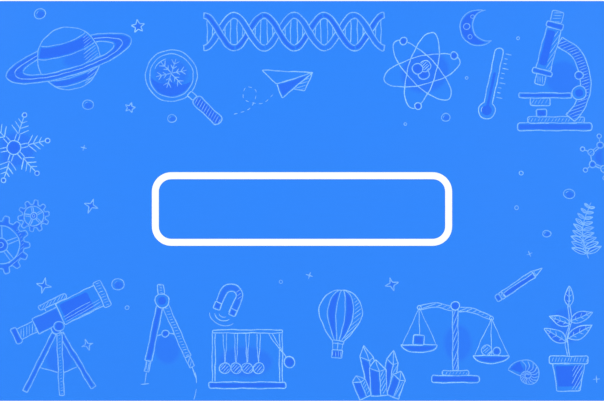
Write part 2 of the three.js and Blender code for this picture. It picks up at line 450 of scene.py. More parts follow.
def within(points, outline):
    """Which points an outline holds: a line to their right crosses it an odd number of times."""
    x, z = points[:, None, 0], points[:, None, 1]
    start, end = outline, np.roll(outline, -1, axis=0)
    crossed = (start[:, 1] > z) != (end[:, 1] > z)
    rise = end[:, 1] - start[:, 1]
    rise = np.where(np.abs(rise) < NO_LENGTH, NO_LENGTH, rise)
    reach = start[:, 0] + (z - start[:, 1]) * (end[:, 0] - start[:, 0]) / rise
    return np.logical_xor.reduce(crossed & (x < reach), axis=1)


def overlap(one, other):
    """Whether the boxes of two outlines overlap."""
    return (one.max(axis=0) > other.min(axis=0)).all() and (one.min(axis=0) < other.max(axis=0)).all()


def unbroken(shown):
    """The start and end of each unbroken stretch of a mask."""
    edges = np.flatnonzero(np.diff(np.concatenate([[0], shown.astype(int), [0]])))
    return edges.reshape(-1, 2)


def upright(outline, y):
    """An outline in millimetres from the board's middle as points in metres at a depth y."""
    outline = np.asarray(outline, float)
    depth = np.broadcast_to(y, outline.shape[:-1])
    return np.stack([outline[..., 0] * MM, depth, BOARD_MIDDLE_Z + outline[..., 1] * MM], axis=-1)


# The pen, in millimetres

STEP = 1.4  # between the points of a stroke
PEN_SWAY = ((47.0, 0.7), (19.0, 0.35))  # wave lengths of the hand's wander, and each one's share
FULL_SWAY = 40.0  # length from which a stroke strays in full
END_THINNING = 0.5  # share of its width that a stroke lacks at its ends
END_REACH = 2.2  # how soon it gains that share from its ends
WIDTH_SWING = ((0.1, 9.0), (0.08, 3.7))  # shares that the width swings by, and how slowly
TONE_SWING = (0.12, 13.0)  # and the same for the tone
STROKE_TONES = (0.74, 1.0)  # the weakest and the strongest stroke of a drawing
LAYER_SHARE = 0.2  # of the ink's height, by which strokes lie higher or lower
GOLDEN_SHARE = 0.618034  # step from layer to layer, which spreads them evenly
LEAST_STROKE = 3  # points, and a shorter stretch isn't drawn
OVERRUN = 3  # points that a closed stroke runs on past its start
KEPT_POINT = 4  # every fourth point of a stroke is kept, to find room for the marks
NIB = np.array([-1, -0.62, 0, 0.62, 1])  # a line's profile: places across it
INK_ROUND = np.array([-0.3, 0.74, 1, 0.74, -0.3])  # and its height at each of them
TITLE_NIB = np.array([-1, -0.96, -0.9, 0.9, 0.96, 1])  # the same for the title frame, which is flatter
TITLE_ROUND = np.array([-0.3, 0.7, 1, 1, 0.7, -0.3])
TITLE_STEP = 2.0
EDGE_MARGIN = 1.2  # bare strip along the board's edges
HATCH_LOOK = {"width": 0.72, "tone": 0.92}
HATCH_END = 1.6  # bare end of a hatching line
HATCH_LEAST = 6.0  # width of a shape below which no line is drawn
HATCH_NUDGE = 1.2  # the most that chance shortens a line's ends by
HATCH_SHIFT = 0.12  # and the most that it moves a line by, as a share of the gap
HATCH_RIMS = (0.7, 0.2)  # gaps left before the first line and after the last
FILL_ROOT = 0.05  # how deep a fill reaches into the laminate
FILL_LOW = 0.035  # the least height of a fill
WASH_LOW = 0.012  # and of a wash, which lies under the fills
FILL_SPREAD = 0.018  # added by its layer, so that no two lie level
FILL_INSET = 0.4  # the least distance from a fill to its outline
FILL_POINTS = 8  # a rim with fewer is too small to fill
RIM_SWAY = 0.22  # how uneven a fill's rim is
RIM_WAVES = 3  # waves round it


def turned(angle, size=1.0):
    """The matrix that turns by an angle in degrees and scales."""
    cos, sin = math.cos(math.radians(angle)) * size, math.sin(math.radians(angle)) * size
    return np.array([[cos, -sin], [sin, cos]])


class Pen:
    """Draws on the face in millimetres. A stroke is the nib's profile carried along its path, and a fill is
    a thin flat patch. What a cover holds hides the strokes that come after it, so near things are drawn
    first."""

    def __init__(self, settings):
        self.chance = np.random.default_rng(settings.seed)
        self.half_width = settings.line_width / MM / 2
        self.height = settings.ink_height / MM
        self.wander = settings.wander / MM
        self.gap = settings.hatch_gap / MM
        self.limit = np.array([BOARD_WIDTH, BOARD_HEIGHT]) / MM / 2 - EDGE_MARGIN
        self.turning = np.eye(2)
        self.middle = np.zeros(2)
        self.covers = []
        self.drawn = []
        self.pressure = 1.0
        self.layer = 0.0
        self.new_sheet()

    def new_sheet(self):
        """Starts a new pair of pieces, one of lines and one of fills."""
        self.lines = Shells()
        self.fills = Shells()

    @contextmanager
    def at(self, across=0.0, up=0.0, size=1.0, turn=0.0):
        """Moves, scales and turns what is drawn inside the with block."""
        before = self.turning, self.middle
        self.middle = self.middle + self.turning @ (across, up)
        self.turning = self.turning @ turned(turn, size)
        yield
        self.turning, self.middle = before

    def place(self, points):
        """A drawing's points as points on the board."""
        return np.asarray(points, float) @ self.turning.T + self.middle

    def next_layer(self):
        """A share of the ink's height that differs from stroke to stroke, so that no two lie level."""
        self.layer = (self.layer + GOLDEN_SHARE) % 1
        return self.layer

    def ink(self, path, width=1.0, tone=1.0):
        """One stroke along a path on the board. It strays by two slow sine waves, thins out at its ends, and
        shows only where neither a cover nor the board's edge hides it."""
        path = evenly(path, STEP)
        length = np.hypot(*np.diff(path, axis=0).T).sum()
        run = np.linspace(0, length, len(path))
        for wave, share in PEN_SWAY:
            phases = self.chance.uniform(0, 2 * np.pi, 2)
            sway = share * self.wander * min(1, length / FULL_SWAY)
            path = path + sway * np.sin(run[:, None] * 2 * np.pi / wave + phases)
        thin = 1 - END_THINNING * np.exp(-np.minimum(run, length - run) / END_REACH)
        (slow, slow_run), (fast, fast_run) = WIDTH_SWING
        press = 1 + slow * np.sin(run / slow_run + self.chance.uniform(0, 6)) + fast * np.sin(run / fast_run)
        half = self.half_width * width * thin * press
        swing, swing_run = TONE_SWING
        uneven = 1 - swing + swing * np.sin(run / swing_run + self.chance.uniform(0, 6))
        shade = tone * self.pressure * self.chance.uniform(*STROKE_TONES) * uneven
        top = self.height * (1 - LAYER_SHARE + LAYER_SHARE * self.next_layer())
        shown = (np.abs(path) < self.limit).all(axis=1)
        for cover in self.covers:
            shown &= ~within(path, cover)
        side = sideways(path)
        for start, end in unbroken(shown):
            if end - start < LEAST_STROKE:
                continue
            part = slice(start, end)
            flat = path[part, None] + side[part, None] * (half[part, None] * NIB)[..., None]
            lift = np.broadcast_to(top * INK_ROUND, flat.shape[:2])
            self.lines.add(upright(flat, FACE_Y - lift * MM), tone=shade[part])
        self.drawn.append(path[shown][::KEPT_POINT])

    def draw(self, points, closed=False, **how):
        """A stroke through points. A closed one runs on a little past its start, as a hand does."""
        path = self.place(points)
        if closed:
            path = evenly(np.vstack([path, path[:1]]), STEP)
            path = np.vstack([path, path[1:1 + OVERRUN]])
        self.ink(path, **how)

    def hatch(self, outline, angle=50, gap=1.0):
        """Straight strokes at an angle inside an outline. The outline is turned back by the angle, and each
        level line runs between pairs of its crossings."""
        turn = turned(angle)
        start = self.place(outline) @ turn
        end = np.roll(start, -1, axis=0)
        gap = gap * self.gap
        below, above = HATCH_RIMS
        levels = np.arange(start[:, 1].min() + below * gap, start[:, 1].max() - above * gap, gap)
        for level in levels + self.chance.uniform(-HATCH_SHIFT, HATCH_SHIFT, len(levels)) * gap:
            crossed = (start[:, 1] > level) != (end[:, 1] > level)
            a, b = start[crossed], end[crossed]
            places = np.sort(a[:, 0] + (level - a[:, 1]) * (b[:, 0] - a[:, 0]) / (b[:, 1] - a[:, 1]))
            for left, right in places.reshape(-1, 2):
                if right - left > HATCH_LEAST:
                    nudge = self.chance.uniform(0, HATCH_NUDGE, 2)
                    line = [(left + HATCH_END + nudge[0], level), (right - HATCH_END - nudge[1], level)]
                    self.ink(np.array(line) @ turn.T, **HATCH_LOOK)

    def fill(self, outline, strength=1.0, inset=1.7, soft=0.8, holes=(), low=FILL_LOW):
        """A patch of deep ink a little inside an outline, with a slightly uneven rim, less what a cover
        hides."""
        rim = inside_rim(evenly_round(self.place(outline), STEP), max(inset, FILL_INSET))
        phases = self.chance.uniform(0, 2 * np.pi, 2)
        if len(rim) < FILL_POINTS:
            return
        run = np.linspace(0, 2 * RIM_WAVES * np.pi, len(rim))[:, None]
        rim = rim + RIM_SWAY * np.sin(run + phases)
        rim = np.clip(rim, -self.limit, self.limit)
        cuts = [cover for cover in self.covers if overlap(cover, rim)]
        cuts += [self.place(hole) for hole in holes]
        top = low + FILL_SPREAD * self.next_layer()
        self.fills.add_plate(rim, cuts, FACE_Y + FILL_ROOT * MM, FACE_Y - top * MM, soft, deep=strength)

    def wash(self, outline, strength=0.6):
        """A patch of deep ink that pays no heed to the lines, with a rim that fades out."""
        self.fill(outline, strength, inset=FILL_INSET, soft=6.0, low=WASH_LOW)

    def cover(self, outline):
        """Hides what is drawn inside an outline from here on."""
        self.covers.append(self.place(outline))

    def solid(self, outline, fill=0.0, hatch=None, gap=1.0, inset=1.7):
        """A closed shape that hides what comes after it, with a fill and hatching where asked."""
        self.draw(outline, closed=True)
        if fill:
            self.fill(outline, fill, inset)
        if hatch is not None:
            self.hatch(outline, hatch, gap)
        self.cover(outline)

    def band(self, path, width, fill=0.0):
        """A strip with open ends that hides what comes after it."""
        path = np.asarray(path, float)
        side = sideways(path) * width / 2
        self.draw(path + side)
        self.draw(path - side)
        if fill:
            self.fill(strip(path, width), fill, inset=width * 0.2)
        self.cover(strip(path, width))


# Drawings of the sky

def ringed_planet(pen, radius=47, outer=(98, 26), middle=(84, 20), inner=(71, 15)):
    """A banded ball with a flat ring: the ring's near half crosses the ball and its far half is behind it."""
    def belt(level):
        """The near half of a level circle on the ball, as wide as the ball is there."""
        half = math.sqrt(radius**2 - level**2)
        return oval(0, level, half, half * 0.2, 180, 360)

    def half_ring(start, end, beyond=0):
        """The outer oval's part one way and the inner oval's part back, each a little longer if asked."""
        return np.vstack([
            oval(0, 0, *outer, start - beyond, end + beyond), oval(0, 0, *inner, end + beyond, start - beyond)
        ])

    for start, end in ((180, 360), (0, 180)):
        pen.fill(half_ring(start, end, beyond=8), 0.9)
        for halves in (outer, middle, inner):
            pen.draw(oval(0, 0, *halves, start, end))
        pen.cover(half_ring(start, end))
        if start:
            pen.draw(oval(0, 0, radius), closed=True)
            pen.fill(np.vstack([belt(14), belt(31)[::-1]]))
            pen.fill(np.vstack([belt(-33), belt(-20)[::-1]]), 0.9)
            pen.wash(oval(14, -4, 26, 15), 0.5)
            for level in (31, 14, -20, -33):
                pen.draw(belt(level), width=0.8)
            pen.hatch(crescent(radius, -80, 60, 26), 38, gap=0.9)
            pen.cover(oval(0, 0, radius))


def telescope(pen):
    """Three tubes of falling width on a tripod."""
    with pen.at(0, 34, turn=26):
        pen.solid(oval(-6, -16, 8), fill=1)
        pen.solid(box(72, -22, 84, 22, 3), hatch=20)
        pen.fill(box(8, -15, 58, 15), inset=0.5)
        pen.hatch(box(4, -18, 72, -2), 30)
        pen.solid(box(4, -18, 72, 18))
        pen.solid(box(-40, -13, 4, 13), fill=0.8)
        pen.solid(box(-68, -9, -40, 9), hatch=90)
        pen.solid(box(-78, -13, -68, 13, 3), fill=1)
        pen.solid(box(-22, 19, 26, 27, 3), hatch=60, gap=0.8)
        pen.draw([(-14, 13), (-14, 19)])
        pen.draw([(16, 18), (16, 19)])
    pen.solid(oval(-2, 14, 9), fill=1)
    pen.solid(strip([(2, 6), (6, -92)], 8), hatch=20)
    pen.solid(strip([(-6, 6), (-52, -86)], 8), fill=0.9, inset=1.8)
    pen.solid(strip([(4, 6), (56, -80)], 8), fill=0.9, inset=1.8)
    pen.draw([(-34, -46), (5, -58), (36, -44)])
    pen.wash(oval(2, -34, 24, 26), 0.5)


def crescent_moon(pen):
    """The outline between two circles, with craters."""
    outline = np.vstack([arc(30, 60, 300), oval(17, 0, 26, 26, 273, 87)])
    pen.draw(outline, closed=True)
    pen.fill(outline)
    for across, up, radius in ((-18, 6, 5), (-16, -12, 3.4), (-5, 20, 3)):
        pen.draw(oval(across, up, radius), closed=True, width=0.8)


def star(pen, points=5, radius=12, inner=0.42):
    """A star whose radius swings between a length and a share of it."""
    turns = np.arange(2 * points)
    outline = polar(np.where(turns % 2, radius * inner, radius), np.radians(90 + turns * 180 / points))
    pen.draw(outline, closed=True)
    pen.fill(outline, 0.8, inset=1)


def paper_plane(pen):
    """A folded dart with a dashed looping trail."""
    nose, fold, keel = (50, 14), (-20, 2), (-13, -25)
    pen.solid([nose, (-44, 32), fold])
    pen.solid([nose, fold, keel], fill=0.9)
    pen.draw([keel, (4, -8), fold])
    pen.solid([nose, (4, -8), (30, -18)], hatch=15)
    trail = curve([(-26, -14), (-52, -30), (-84, -18), (-78, 4), (-60, -6), (-76, -36), (-118, -44)])
    trail = evenly(trail, 1)
    for start in range(4, len(trail) - 8, 13):
        pen.draw(trail[start:start + 8], width=0.85)


def hot_air_balloon(pen):
    """A round envelope that narrows to its mouth, with a basket on ropes. Its seams are its right side drawn
    in towards the middle by equal steps."""
    side = np.vstack([arc(44, 90, -28), curve([(38.8, -20.7), (26, -42), (11, -60)])[1:]])
    pen.solid(box(-11, -94, 11, -78, 2), fill=1, hatch=90, gap=0.9)
    for across in (-9, 0, 9):
        pen.draw([(across, -78), (across * 1.2, -62)], width=0.8)
    pen.solid(box(-12, -65, 12, -59))
    seams = [side * (share, 1) for share in (-1, -0.6, -0.2, 0.2, 0.6, 1)]
    for count, (left, right) in enumerate(zip(seams, seams[1:])):
        gore = np.vstack([left, right[::-1]])
        if count % 2:
            pen.fill(gore, 0.95, inset=1.5)
        if count == 4:
            pen.hatch(gore, 40)
    for seam in seams[1:-1]:
        pen.draw(seam, width=0.85)
    pen.solid(np.vstack([seams[-1], seams[0][::-1]]))


# Drawings of living things

def double_helix(pen, half_turns=6, length=276, swing=25, width=9):
    """Two bands that follow opposite cosines. Each band is in front for every other half turn, and rungs join
    them behind."""
    def reach(half_turn, sign, count=20, beyond=0.07):
        """One half turn of a band, and a little of the turns beside it."""
        t = np.linspace(half_turn - beyond, half_turn + 1 + beyond, count).clip(0, half_turns)
        return np.column_stack([t * length / half_turns - length / 2, sign * swing * np.cos(np.pi * t)])

    for end in (-length / 2, length / 2):
        for middle in (-swing, swing):
            pen.draw([(end, middle - width / 2), (end, middle + width / 2)])
    for front in (1, -1):
        for half_turn in range(half_turns):
            sign = front * (-1) ** half_turn
            pen.band(reach(half_turn, sign), width, fill=0.95 if sign > 0 else 0.5)
    for half_turn in range(half_turns):
        upper, lower = reach(half_turn, 1), reach(half_turn, -1)
        for place in (3, 6, 13, 16):
            pen.draw([upper[place], lower[place]], width=0.9)


def leaf(pen, length, width, fill, veins):
    """A leaf along its length, whose half width is a sine of the length's share raised to 0.8."""
    share = np.linspace(0, 1, 24)
    upper = np.column_stack([share * length, width / 2 * np.sin(np.pi * share**0.8)])
    outline = np.vstack([upper, (upper * (1, -1))[::-1]])
    pen.draw(outline, closed=True)
    pen.fill(np.vstack([upper, [(length, 0), (0, 0)]]), fill, inset=0.9)
    pen.draw([(0, 0), (length * 0.92, 0)], width=0.8)
    for place in np.linspace(0.2, 0.7, veins):
        rise = 0.62 * width / 2 * math.sin(math.pi * place**0.8)
        for side in (-1, 1):
            pen.draw([(place * length, 0), (place * length + rise * 0.9, side * rise)], width=0.7)
    pen.cover(outline)


def potted_seedling(pen):
    """A pot with a rim and a stem with leaves in pairs."""
    pen.solid(box(-34, -30, 34, -17, 3), hatch=70)
    pot = [(-28, -30), (-20, -78), (20, -78), (28, -30)]
    pen.draw(pot, closed=True)
    pen.fill([(-26, -32), (-20, -72), (20, -72), (26, -32)], inset=1.5)
    pen.hatch([(6, -30), (4, -78), (20, -78), (28, -30)], 60)
    pen.cover(pot)
    stem = curve([(0, -18), (-4, 12), (3, 44), (0, 72)])
    pen.draw(stem + (1.8, 0))
    pen.draw(stem - (1.8, 0))
    leaves = ((-3, 8, 46, 150), (-1, 14, 48, 28), (2, 38, 38, 158), (3, 44, 42, 22), (0, 70, 36, 88))
    for across, up, length, turn in leaves:
        with pen.at(across, up, turn=turn):
            leaf(pen, length, length * 0.44, fill=0.9, veins=3)
    pen.wash(oval(-4, 36, 32, 34), 0.5)


def spiral_shell(pen, turns=2.4, radius=50, growth=0.19):
    """A spiral whose radius grows by the same share each turn, with bent walls between its last two turns."""
    last, back = 2 * np.pi * turns, 2 * np.pi

    def spiral(angle):
        """The spiral's points at some angles: its radius is the last one times e to the growth times the
        angle's distance from the last one."""
        return polar(radius * np.exp(growth * (angle - last)), angle)

    pen.draw(spiral(np.linspace(0, last, 150)))
    mouth = spiral(np.array([last, last - back]))
    pen.draw(curve([mouth[0], mouth.mean(axis=0) + (9, -12), mouth[1]]))
    for angle in np.arange(last - 0.9, last - back - 2.5, -0.4):
        wall = spiral(np.array([angle, angle - 0.24, angle - back]))
        wall[1] = (wall[0] + wall[2]) / 2 + (wall[1] - wall[0]) * 0.6
        pen.draw(curve(wall), width=0.8)
    outer = np.linspace(last - 0.9, last, 20)
    pen.fill(np.vstack([spiral(outer), spiral(outer - back)[::-1]]))
    pen.wash(oval(5, 3, 28, 26), 0.6)


def fern(pen):
    """A bent stalk with leaflets that shrink towards its tip."""
    stalk = evenly(curve([(0, -60), (-6, -20), (2, 22), (22, 56)]), 12)
    pen.draw(stalk)
    for place, (across, up) in enumerate(stalk[1:-1]):
        length = 34 - 2.6 * place
        for turn in (18, 152):
            with pen.at(across, up, turn=turn - 3 * place):
                leaf(pen, length, length * 0.36, fill=0.8, veins=0)


# Drawings of matter

def crystal_arm(pen, start, end, barbs, lean):
    """A straight arm with pairs of barbs, which lean along it by a share of their height."""
    pen.draw([(start, 0), (end, 0)])
    for root, barb in barbs:
        pen.draw([(root + barb * lean, barb), (root, 0), (root + barb * lean, -barb)])


def frosted_crystal(pen):
    """A large snow crystal with a filled heart and a bead on each arm."""
    heart = oval(0, 0, 13)
    pen.fill(heart, inset=1.5)
    pen.draw(heart, closed=True)
    for turn in range(0, 360, 60):
        with pen.at(turn=turn):
            pen.solid(oval(66, 0, 4.5), fill=1, inset=1)
            pen.band([(13, 0), (20, 0), (27, 0)], 7, fill=0.9)
            crystal_arm(pen, 27, 61, ((27, 17), (38, 14), (49, 9)), lean=0.8)
    pen.wash(oval(3, -4, 40, 36), 0.55)


def magnifier(pen):
    """A lens in a double rim over a small snow crystal, with a hatched handle."""
    with pen.at(turn=-44):
        pen.solid(box(57, -9, 118, 9, 7), fill=1, hatch=62)
        pen.solid(box(44, -5, 57, 5))
    for radius in (45, 38):
        pen.draw(oval(0, 0, radius), closed=True)
    pen.fill(crescent(38, 175, 355, 30), 0.9)
    pen.wash(oval(0, 4, 32, 28), 0.5)
    pen.draw(arc(31, 108, 158), width=0.8)
    for turn in range(0, 360, 60):
        with pen.at(0, 4, 0.5, 12 + turn):
            crystal_arm(pen, 0, 54, ((18, 11), (34, 14)), lean=1)


def atom(pen, radius=60, flatness=0.36):
    """Three flat orbits a third of a turn apart, each with a bead, round a cluster of balls."""
    pen.wash(oval(4, -4, 40, 34), 0.6)
    for across, up, hatch in ((-6, 4, None), (6, 5, 45), (1, -6, None)):
        pen.solid(oval(across, up, 8.5), fill=0 if hatch else 1, hatch=hatch, gap=0.7)
    for turn, angle in ((0, 28), (60, 205), (120, 330)):
        with pen.at(turn=turn):
            bead = polar(radius, math.radians(angle)) * (1, flatness)
            pen.solid(oval(*bead, 5.5), fill=1, inset=1.2)
    for turn in (0, 60, 120):
        with pen.at(turn=turn):
            pen.draw(oval(0, 0, radius, flatness * radius), closed=True)


def ring_molecule(pen, radius=30, reach=1.75):
    """Six balls on a ring, joined by rods, every other rod doubled, each with a smaller ball further out."""
    places = polar(radius, np.radians(30 + np.arange(6) * 60))
    for count, place in enumerate(places):
        pen.solid(oval(*place, 8), fill=0.95 * (count % 2), hatch=None if count % 2 else 40, gap=0.8)
        pen.solid(oval(*(place * reach), 5.5), fill=0.9, inset=1.4)
    for count in range(6):
        ends = places[[count, (count + 1) % 6]]
        pen.draw(ends * 1.06)
        if count % 2:
            pen.draw(ends * 0.86)
        pen.draw([places[count], places[count] * reach])
    pen.wash(oval(0, 0, 25), 0.7)


def crystal_cluster(pen):
    """Leaning crystals, the near ones first. Each is a shaft with a slanted tip and three long faces."""
    near = ((0, 0, 15, 66, 4), (-25, -3, 12, 44, 22), (24, -2, 12, 50, -20))
    far = ((-9, 6, 12, 88, 12), (15, 6, 11, 78, -9))
    for across, up, half, height, lean in near + far:
        with pen.at(across, up, turn=lean):
            tip, left, right = (-0.15 * half, height), (-half, 0.78 * height), (half, 0.72 * height)
            ridge, ridge_foot = (0.2 * half, 0.66 * height), (0.2 * half, 0)
            pen.draw([left, ridge, right], width=0.8)
            pen.draw([tip, ridge, ridge_foot], width=0.8)
            pen.fill([(-half, 0), left, ridge, ridge_foot], 0.9, inset=1.5)
            pen.hatch([ridge_foot, ridge, right, (half, 0)], 62, gap=0.9)
            pen.solid([(-half, 0), left, tip, right, (half, 0)])


def horseshoe_magnet(pen):
    """A thick bent bar with filled tips and the field between them."""
    bend = np.vstack([[(-24, -40)], oval(0, 8, 24, 24, 180, 0), [(24, -40)]])
    for side in (-1, 1):
        pen.solid(box(side * 24 - 10, -44, side * 24 + 10, -24), fill=1)
    pen.draw(strip(bend, 20), closed=True)
    pen.fill(strip(bend, 20), 0.7)
    pen.hatch(np.vstack([oval(0, 8, 34, 34, 75, -15), oval(0, 8, 14, 14, -15, 75)]), 35)
    for half_width, half_height in ((12, 8), (24, 19), (40, 32)):
        pen.draw(oval(0, -50, half_width, half_height, 200, 340), width=0.85)


def thermometer(pen):
    """A tube that ends in a ball, with its liquid and marks."""
    pen.draw(np.vstack([oval(0, -58, 17, 17, 120, 420), oval(0, 62, 8.5, 8.5, 0, 180)]), closed=True)
    pen.fill(np.vstack([oval(0, -58, 11, 11, 110, 430), [(3.6, 22), (-3.6, 22)]]), inset=0.3)
    pen.draw(oval(0, -58, 11, 11, 150, 210), width=0.8)
    for mark in range(10):
        level = -28 + 10 * mark
        pen.draw([(13, level), (20 if mark % 3 else 26, level)], width=0.85)


# Drawings of instruments

def microscope(pen):
    """A leaning tube over a stage, on a bent arm and a two-step foot."""
    pen.fill(oval(38, -36, 7), inset=0.3)
    pen.solid(oval(38, -36, 11))
    pen.solid(oval(38, -8, 6.5), fill=1, inset=1.5)
    with pen.at(-12, 30, turn=-15):
        pen.solid(box(-14, 38, 14, 48, 3), fill=1)
        pen.solid(box(-9, 48, 9, 66, 2), hatch=0)
        pen.fill(box(-10, -24, 4, 35), inset=0.4)
        pen.hatch(box(3, -30, 12, 38), 55)
        pen.solid(box(-12, -30, 12, 38, 2))
        pen.solid(box(-16, -38, 16, -30, 3), fill=0.9, inset=1.4)
        pen.solid(box(-8, -54, 8, -38), hatch=90, gap=0.8)
    pen.solid(box(-58, -44, 26, -36, 2), fill=1, inset=1.6)
    pen.solid(box(-40, -56, -8, -44, 2), hatch=60)
    arm = curve([(24, -76), (42, -52), (48, -14), (34, 26), (6, 46)])
    pen.solid(strip(arm, 17), fill=0.8, hatch=20)
    pen.solid(box(-30, -74, -14, -62, 3), fill=1)
    pen.solid(box(-44, -84, 46, -74, 3), hatch=60)
    pen.solid(box(-60, -96, 58, -84, 4), fill=0.9)
    pen.wash(oval(12, -12, 30, 30), 0.5)


def gear(pen, radius=60, teeth=14, depth=6.0):
    """A wheel whose radius adds the depth of its teeth times a cosine that is cut off above and below."""
    angles = np.radians(np.arange(0, 360, 1.5))
    rim = polar(radius + depth * np.clip(2.4 * np.cos(teeth * angles), -1, 1), angles)
    hub = oval(0, 0, radius * 0.26)
    pen.draw(rim, closed=True)
    pen.draw(oval(0, 0, radius * 0.72), closed=True)
    pen.hatch(np.vstack([arc(radius * 0.92, -70, 50), arc(radius * 0.74, 50, -70)]), 40)
    pen.fill(hub, inset=1.5)
    pen.fill(rim, 0.8, holes=[oval(0, 0, radius * 0.77)])
    pen.draw(oval(0, 0, radius * 0.1), closed=True)
    pen.draw(hub, closed=True)
    pen.cover(hub)
    for turn in range(20, 380, 72):
        with pen.at(turn=turn):
            pen.band([(radius * 0.2, 0), (radius * 0.45, 0), (radius * 0.72, 0)], radius * 0.13)


def gear_pair(pen):
    """A large wheel and a small one that meets it."""
    gear(pen)
    with pen.at(75, 66, 0.52, 9):
        gear(pen, teeth=10, depth=9)


def drawing_compass(pen):
    """Two legs on a hinge, a needle and a lead, with the arc that they draw."""
    pen.solid(box(-5, 74, 5, 90, 2), hatch=0, gap=0.8)
    pen.fill(oval(0, 63, 7.5), inset=0.3)
    pen.solid(oval(0, 63, 12))
    for side in (-1, 1):
        leg = strip([(side * 5, 54), (side * 33, -34)], 11)
        pen.solid(leg, fill=0.95 * (side < 0), hatch=None if side < 0 else 12)
        pen.solid(strip([(side * 32.5, -34), (side * 38, -52)], 8), hatch=80, gap=0.8)
        pen.draw([(side * 38, -52), (side * 43, -72)])
    pen.solid(oval(0, 8, 6), fill=1, inset=1.4)
    pen.draw(oval(0, -8, 26, 16, 35, 145))
    drawn = oval(-43, -72, 86, 86, -24, 42)
    for start in range(0, len(drawn) - 5, 6):
        pen.draw(drawn[start:start + 5], width=0.85)
    pen.draw([(-50, -72), (-36, -72)])
    pen.wash(oval(0, -18, 24, 28), 0.5)


def swinging_balls(pen, spacing=21, hang=50, reach=66):
    """A frame with five balls on pairs of threads, the last one lifted."""
    pen.solid(box(-72, -54, 72, -42, 4), fill=1)
    for count in range(5):
        top = spacing * (count - 2)
        lifted = count == 4
        lift = math.radians(34 if lifted else 0)
        ball = (top + reach * math.sin(lift), hang - reach * math.cos(lift))
        pen.solid(oval(*ball, 10.2), fill=0.95 if lifted else 0.6, hatch=None if lifted else 48, gap=0.85)
        for side in (-3.5, 3.5):
            pen.draw([(top + side, hang), ball], width=0.75)
    pen.solid(box(-66, hang, 66, hang + 6, 2))
    for side in (-1, 1):
        pen.band([(side * 63, hang), (side * 63, 4), (side * 63, -42)], 5.5)
    pen.wash(oval(-4, -4, 54, 32), 0.5)


def pan_balance(pen):
    """A column with a tilted beam, and a pan on three threads at each end."""
    pen.solid(oval(0, 52, 7.5), fill=1, inset=1.5)
    pen.solid(box(-4.5, -56, 4.5, 46), fill=0.7, hatch=70)
    pen.solid(box(-22, -64, 22, -56, 3), hatch=60)
    pen.solid(box(-40, -76, 40, -64, 4), fill=1)
    for side in (-1, 1):
        across, up = side * 60, 40 - side * 9
        pan = oval(across, up - 62, 30, 13, 180, 360)
        if side < 0:
            pen.solid(box(across - 10, up - 62, across + 8, up - 46, 2), fill=0.9)
        else:
            pen.solid(oval(across - 8, up - 53, 8.5), hatch=40, gap=0.8)
            pen.solid(oval(across + 9, up - 55, 6.5), fill=0.9, inset=1.5)
        pen.draw(pan, closed=True)
        pen.fill(pan, 0.9, inset=2)
        for end in (-28, 0, 28):
            pen.draw([(across, up), (across + end, up - 61)], width=0.7)
        pen.solid(oval(across, up, 3.4))
    pen.solid(strip(curve([(-60, 49), (-30, 53), (0, 46), (30, 44), (60, 31)]), 7), hatch=20)
    pen.wash(oval(4, -10, 26, 34), 0.5)


def pencil(pen):
    """A six-sided pencil: a ridged shaft, a cone, a lead and a rubber."""
    pen.solid(box(-62, -8, -50, 8, 4), fill=1, inset=1.8)
    pen.solid(box(-50, -8, -42, 8), hatch=90, gap=0.5)
    pen.draw([(-42, -8), (38, -8), (38, 8), (-42, 8)], closed=True)
    pen.draw([(-42, 2.6), (38, 2.6)], width=0.8)
    pen.fill(box(-41, -7, 37, 2.5, 0.5), inset=0.4)
    pen.draw([(38, -8), (62, 0), (38, 8)])
    pen.fill([(53, -3), (62, 0), (53, 3)], inset=0)
    pen.draw(curve([(38, -8), (42, -3), (38, 0), (42, 4), (38, 8)]), width=0.8)


# Small marks between the drawings

def bubble(pen):
    """A ring with a fill and a short gleam."""
    pen.draw(oval(0, 0, 8, 7), closed=True, width=0.85)
    pen.fill(oval(1, -1, 6, 5), 0.7, inset=FILL_INSET)
    pen.draw(oval(0, 0, 4.4, 3.8, 110, 170), width=0.7)


def dot(pen):
    """A small ring."""
    pen.draw(oval(0, 0, 2.6), closed=True, width=0.85)


def cross(pen):
    """Two short strokes."""
    pen.draw([(-6, 0), (6, 0)])
    pen.draw([(0, -6), (0, 6)])


def sparkle(pen):
    """A star with four thin points."""
    star(pen, points=4, inner=0.28)


# Where each drawing stands: across and up from the board's middle in millimetres, its size and its turn

DRAWINGS = {
    "sky": (
        (ringed_planet, -350, 214, 1.0, 17),
        (star, -246, 262, 0.9, 8),
        (star, -258, 140, 0.7, -14),
        (crescent_moon, 264, 260, 0.9, 12),
        (paper_plane, -22, 176, 0.8, 8),
        (telescope, -366, -204, 0.95, 0),
        (hot_air_balloon, 58, -166, 0.74, -5),
    ),
    "life": (
        (double_helix, -12, 254, 0.98, 0),
        (fern, 424, -44, 0.72, 8),
        (potted_seedling, 400, -218, 0.86, 0),
        (spiral_shell, 338, -262, 0.6, 20),
    ),
    "matter": (
        (magnifier, -196, 188, 0.86, 0),
        (atom, 180, 196, 0.98, 14),
        (frosted_crystal, -432, 80, 0.78, 12),
        (ring_molecule, 450, 66, 0.6, 8),
        (horseshoe_magnet, -108, -146, 0.52, -24),
        (crystal_cluster, 116, -292, 0.82, 0),
    ),
    "instruments": (
        (thermometer, 286, 178, 0.74, -12),
        (microscope, 380, 196, 0.94, 0),
        (gear_pair, -452, -66, 0.66, 0),
        (drawing_compass, -204, -206, 0.9, 6),
        (swinging_balls, -82, -238, 0.8, 0),
        (pan_balance, 230, -204, 0.9, 0),
        (pencil, 326, -124, 0.68, 34),
    ),
}
PRESSURES = (0.56, 0.98)  # how hard the pen presses, from the faintest drawing to the clearest
MARKS = (bubble, dot, cross, sparkle, bubble, dot)
MARK_COUNT = 22
MARK_TRIES = 4000
MARK_PRESSURE = 0.66
MARK_SIZES = (0.75, 1.15)
